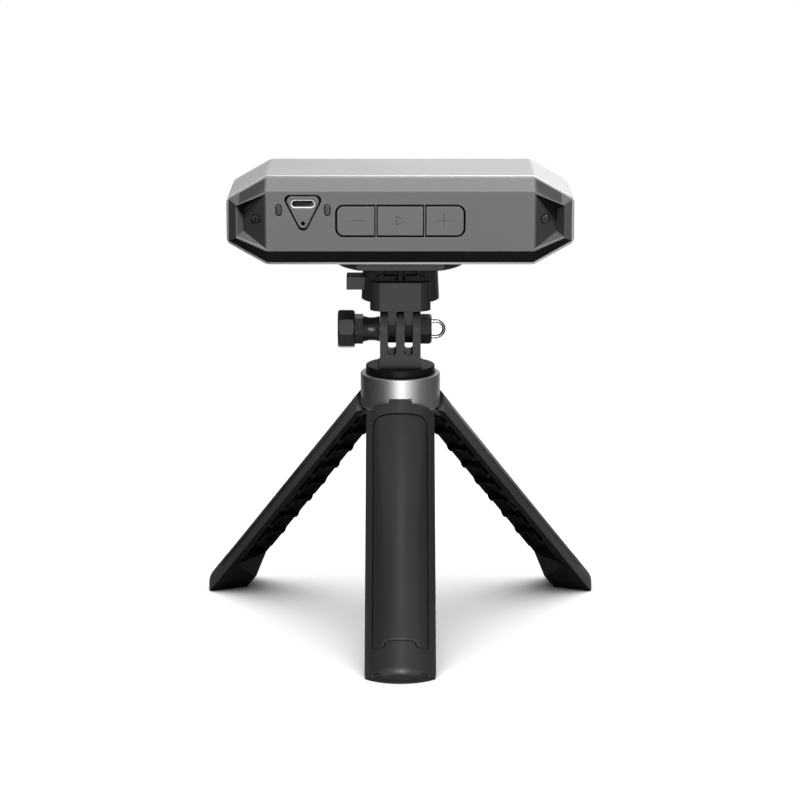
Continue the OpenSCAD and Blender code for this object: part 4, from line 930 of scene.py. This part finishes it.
class SCANNER_OT_legs(Undoable, Operator):
    """Three arched legs"""

    bl_idname = "scanner.legs"
    bl_label = "Legs"

    def execute(self, context):
        for node in ("leg_front", "leg_right", "leg_left"):
            # the rear legs take a lighter copy of the legs' finish, painted light
            smooth_copy(node, "leg_grey", look="leg_grey" if node == "leg_front" else "rear_leg_grey")
        return {"FINISHED"}


def opened_leg(i):
    """Moves a leg drawn folded and facing the camera out to its place, in millimetres."""
    hinge = Vector((0, -HINGE_R, HINGE_H))
    swing = Matrix.Translation(hinge) @ Matrix.Rotation(-SPREAD, 4, "X") @ Matrix.Translation(-hinge)
    return Matrix.Translation((0, AXIS_Y, 0)) @ Matrix.Rotation(math.radians(120 * i), 4, "Z") @ swing


def inset_outline(corners, d, steps):
    """Points round an outline of (x, z, radius) corners, run anticlockwise, set in by d."""
    out = []
    count = len(corners)
    for i, (x, z, r) in enumerate(corners):
        p = Vector((x, z))
        a = (Vector(corners[i - 1][:2]) - p).normalized()
        b = (Vector(corners[(i + 1) % count][:2]) - p).normalized()
        convex = a.x * b.y - a.y * b.x < 0
        na, nb = Vector((a.y, -a.x)), Vector((-b.y, b.x))
        tip = p + (na + nb) / (1 + na.dot(nb)) * d
        r = max(r - d, 0.05) if convex else r + d
        half = math.acos(max(-1, min(1, a.dot(b)))) / 2
        centre = tip + (a + b).normalized() * r / math.sin(half)
        start, end = tip + a * r / math.tan(half), tip + b * r / math.tan(half)
        a0 = math.atan2(start.y - centre.y, start.x - centre.x)
        turn = math.atan2(end.y - centre.y, end.x - centre.x) - a0
        turn = (turn + math.pi) % (2 * math.pi) - math.pi
        angles = [a0 + turn * k / steps for k in range(steps + 1)]
        out += [(centre.x + r * math.cos(angle), centre.y + r * math.sin(angle)) for angle in angles]
    return out


class SCANNER_OT_grips(Undoable, Operator):
    """Grip pads with rounded edges, let into the legs"""

    bl_idname = "scanner.grips"
    bl_label = "Grips"

    def execute(self, context):
        hw, low, top, thick, recess = 9.9, GRIP_LOW, GRIP_TOP, 1.15, 0.05
        notch, rise, slope = 5.2, 2.1, 0.8
        corners = [(-hw, low, 1.1), (-notch - slope, low, 0.9), (-notch, low + rise, 0.8), (notch, low + rise, 0.8),
                   (notch + slope, low, 0.9), (hw, low, 1.1), (hw, top, 3.2), (-hw, top, 3.2)]
        rounding = context.scene.scanner_tripod.grip_round / MM
        rounds = [math.pi / 2 * k / 4 for k in range(5)]
        levels = [(0.0, thick)] + [(rounding * (1 - math.cos(a)), rounding * (1 - math.sin(a))) for a in rounds]
        cuts, spacing = 16, 0.6
        for i, name in enumerate(("front", "right", "left")):
            bm = bmesh.new()
            rings = [[bm.verts.new((x, depth, z)) for x, z in inset_outline(corners, d, 8)] for d, depth in levels]
            for here, there in zip(rings, rings[1:]):
                for k in range(len(here)):
                    n = (k + 1) % len(here)
                    bm.faces.new((here[k], here[n], there[n], there[k]))
            bm.faces.new(rings[-1])
            bm.faces.new(reversed(rings[0]))
            for k in range(-cuts, cuts + 1):
                geometry = bm.verts[:] + bm.edges[:] + bm.faces[:]
                bmesh.ops.bisect_plane(bm, geom=geometry, plane_co=(k * spacing, 0, 0), plane_no=(1, 0, 0), dist=1e-4)
            for v in bm.verts:
                r = LEG_R - recess - v.co.y
                v.co.y = -math.sqrt(r * r - v.co.x * v.co.x)
            bmesh.ops.transform(bm, matrix=Matrix.Scale(MM, 4) @ opened_leg(i), verts=bm.verts)
            node = "grip_" + name
            place_piece(node + "_pad", closed(bm, GRIP_CREASE), "grip_grey", BODY_OF[node], node)
        return {"FINISHED"}


class SCANNER_OT_soles(Undoable, Operator):
    """Rubber soles under the toes"""

    bl_idname = "scanner.soles"
    bl_label = "Soles"

    def execute(self, context):
        for node in ("sole_front", "sole_right", "sole_left"):
            smooth_copy(node, "sole_rubber", edge=0.0002)
        return {"FINISHED"}


# Stage


def receivers(name, objects):
    """A set of objects that a lamp lights."""
    chosen = bpy.data.collections.new(name)
    for obj in objects:
        chosen.objects.link(obj)
    return chosen


def lamp(name, power, only, place, target, size, size_y=None):
    """A soft area lamp that faces a target and lights only one set of objects."""
    data = bpy.data.lights.new(name, "AREA")
    data.energy = power
    data.shape = "RECTANGLE" if size_y else "DISK"
    data.size = size
    if size_y:
        data.size_y = size_y
    obj = linked(name, data)
    obj.location = place
    obj.rotation_euler = (Vector(target) - Vector(place)).to_track_quat("-Z", "Y").to_euler()
    obj.light_linking.receiver_collection = only
    return obj


def seen_rays(tree):
    """1 for the rays that show the background: camera, glossy and transmission."""
    path = add(tree, "ShaderNodeLightPath").outputs
    some = maths(tree, "ADD", path["Is Camera Ray"], path["Is Glossy Ray"])
    return maths(tree, "ADD", some, path["Is Transmission Ray"], clamp=True)


class SCANNER_OT_stage(Undoable, Operator):
    """Pale floor, soft lamps, room light and camera"""

    bl_idname = "scanner.stage"
    bl_label = "Stage"

    def execute(self, context):
        scene = context.scene
        scene.view_settings.view_transform = "Standard"
        self.lamps(scene, self.floor())
        self.card("left card", -140, -19)
        self.card("right card", 40, 140, glow=0.12)
        self.card("rear card", -178, -150, radius=0.4, height=0.23)
        self.room(scene, scene.scanner_stage.ambient)
        self.camera(scene, scene.scanner_stage.lens)
        return {"FINISHED"}

    def lamps(self, scene, floor):
        """Lamps for the scanner, the mount, the front leg, the rear legs and the floor."""
        pieces = [o for o in scene.objects if o.type == "MESH" and o != floor]
        plate = [o for o in pieces if o.name.startswith(("release_plate", "plate_"))]
        upper = [o for o in pieces if o.get("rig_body") in SCANNER_BODIES and o not in plate]
        under = [o for o in pieces if o not in upper]
        front = [o for o in under if o.get("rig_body") == "front_leg"]
        rear = [o for o in under if o.get("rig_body") in ("right_leg", "left_leg")]
        lower = receivers("mount and front leg", [o for o in under if o not in rear])
        upper, under = receivers("scanner pieces", upper), receivers("pieces under the scanner", under)
        front, rear = receivers("front leg", front), receivers("rear legs", rear)
        stage, axis = scene.scanner_stage, AXIS_Y * MM
        key, leg, left = stage.key_power, stage.leg_power, stage.left_power
        top, post, foot = (0, axis, 0.154), (0, axis, 0.10), (0, -0.02, 0.06)
        lamp("key", key, upper, (0.44, -0.60, 1.36), top, 0.36)
        lamp("back lamp", stage.back_power, upper, (0.75, 1.1, 0.45), top, 1.1)
        lamp("front strip", stage.front_power, lower, (0.05, -1.25, 0.24), post, 0.14, 0.36)
        lamp("leg strip", leg, front, (0.04, -0.63, 1.2), foot, 0.12, 0.5)
        lamp("upper fill", 0.12 * key, upper, (-0.9, -1.0, 0.3), top, 0.5)
        lamp("leg edge", 0.5 * left, front, (-1.0, 0.5, 0.22), foot, 0.12, 0.5)
        lamp("left strip", 1.6 * left, rear, (-1.0, -0.05, 0.15), foot, 0.2, 0.5)
        lamp("right rim", 0.6 * left, rear, (0.6, 1.1, 0.2), foot, 0.3)
        lamp("rear fill", 13.0 * leg, rear, (0.1, -0.4, 1.2), foot, 0.3)
        lamp("back fill", 0.35 * key, under, (0.2, 1.2, 0.75), foot, 0.6).visible_glossy = False
        lamp("floor wash", stage.wash_power, receivers("floor only", [floor]), (0, axis, 1.0), (0, axis, 0), 1.4)

    def floor(self):
        """A pale floor near the object that turns into the white of the background."""
        bm = bmesh.new()
        bmesh.ops.create_grid(bm, x_segments=8, y_segments=8, size=6)
        floor = linked("floor", bm)
        material, tree = bare("pale floor")
        away = vectors(tree, "DISTANCE", coords(tree), (0, AXIS_Y * MM, 0), "Value")
        pale, dim = (add(tree, "ShaderNodeBsdfDiffuse", {"Color": (v, v, v, 1)}).outputs[0] for v in (0.9, 0.03))
        white = add(tree, "ShaderNodeEmission", {"Strength": 1.0}).outputs[0]
        near = blend(tree, ramp(tree, away, 0.12, 0.45), pale, white)
        add(tree, "ShaderNodeOutputMaterial", {"Surface": blend(tree, seen_rays(tree), dim, near)})
        floor.data.materials.append(material)
        return floor

    def card(self, name, start, end, glow=0.0, radius=0.13, height=0.165):
        """A curved dark card beside the object, shown only in its reflections; angles run from the camera's side."""
        bm = bmesh.new()
        steps = 32
        turns = [math.radians(start + (end - start) * k / steps) for k in range(steps + 1)]
        rows = [[bm.verts.new((radius * math.sin(a), AXIS_Y * MM - radius * math.cos(a), z)) for a in turns]
                for z in (0.0, height)]
        for k in range(steps):
            bm.faces.new((rows[0][k], rows[0][k + 1], rows[1][k + 1], rows[1][k]))
        card = linked(name, bm)
        material, tree = bare(name)
        dark = add(tree, "ShaderNodeEmission", {"Strength": glow})
        add(tree, "ShaderNodeOutputMaterial", {"Surface": dark.outputs[0]})
        card.data.materials.append(material)
        card.visible_camera = card.visible_diffuse = card.visible_shadow = card.visible_transmission = False

    def room(self, scene, ambient):
        world = bpy.data.worlds.new("studio room")
        world.use_nodes = True
        tree = world.node_tree
        tree.nodes.clear()
        dim, white = (add(tree, "ShaderNodeBackground", {"Color": (v, v, v, 1)}).outputs[0] for v in (ambient, 1.0))
        add(tree, "ShaderNodeOutputWorld", {"Surface": blend(tree, seen_rays(tree), dim, white)})
        scene.world = world

    def camera(self, scene, focal):
        data = bpy.data.cameras.new("camera")
        data.lens, data.sensor_width = focal, 36
        data.shift_x = -0.3 / 800
        data.clip_start, data.clip_end = 0.01, 50
        scene.camera = linked("camera", data)
        scene.camera.location = at_axis(0, -CAMERA_AWAY, CAMERA_UP)
        scene.camera.rotation_euler = (math.radians(CAMERA_PITCH), 0, 0)


OPERATORS = (
    SCANNER_OT_housing, SCANNER_OT_keys, SCANNER_OT_port, SCANNER_OT_status_lights, SCANNER_OT_cover_screws,
    SCANNER_OT_inner_parts, SCANNER_OT_optics, SCANNER_OT_front, SCANNER_OT_quick_release, SCANNER_OT_clamp,
    SCANNER_OT_turning_post, SCANNER_OT_collar, SCANNER_OT_legs, SCANNER_OT_grips, SCANNER_OT_soles, SCANNER_OT_stage)
SETTINGS = {"scanner_housing": HousingSettings, "scanner_mount": MountSettings, "scanner_tripod": TripodSettings,
            "scanner_stage": StageSettings}


class SCANNER_PT_sidebar(Panel):
    """Lists the scanner's settings and the operators that make its pieces"""

    bl_idname = "SCANNER_PT_sidebar"
    bl_label = "Tripod scanner"
    bl_space_type = "VIEW_3D"
    bl_region_type = "UI"
    bl_category = "Scanner"

    def draw(self, context):
        for operator in OPERATORS:
            self.layout.operator(operator.bl_idname)
        for name, kind in SETTINGS.items():
            box = self.layout.box()
            for setting in kind.__annotations__:
                box.prop(getattr(context.scene, name), setting)


CLASSES = (*SETTINGS.values(), *OPERATORS, SCANNER_PT_sidebar)


def register():
    for kind in CLASSES:
        bpy.utils.register_class(kind)
    for name, kind in SETTINGS.items():
        setattr(bpy.types.Scene, name, PointerProperty(type=kind))


def unregister():
    for name in SETTINGS:
        delattr(bpy.types.Scene, name)
    for kind in reversed(CLASSES):
        bpy.utils.unregister_class(kind)


def main():
    register()
    for operator in OPERATORS:
        family, name = operator.bl_idname.split(".")
        getattr(getattr(bpy.ops, family), name)()


if __name__ == "__main__":
    main()
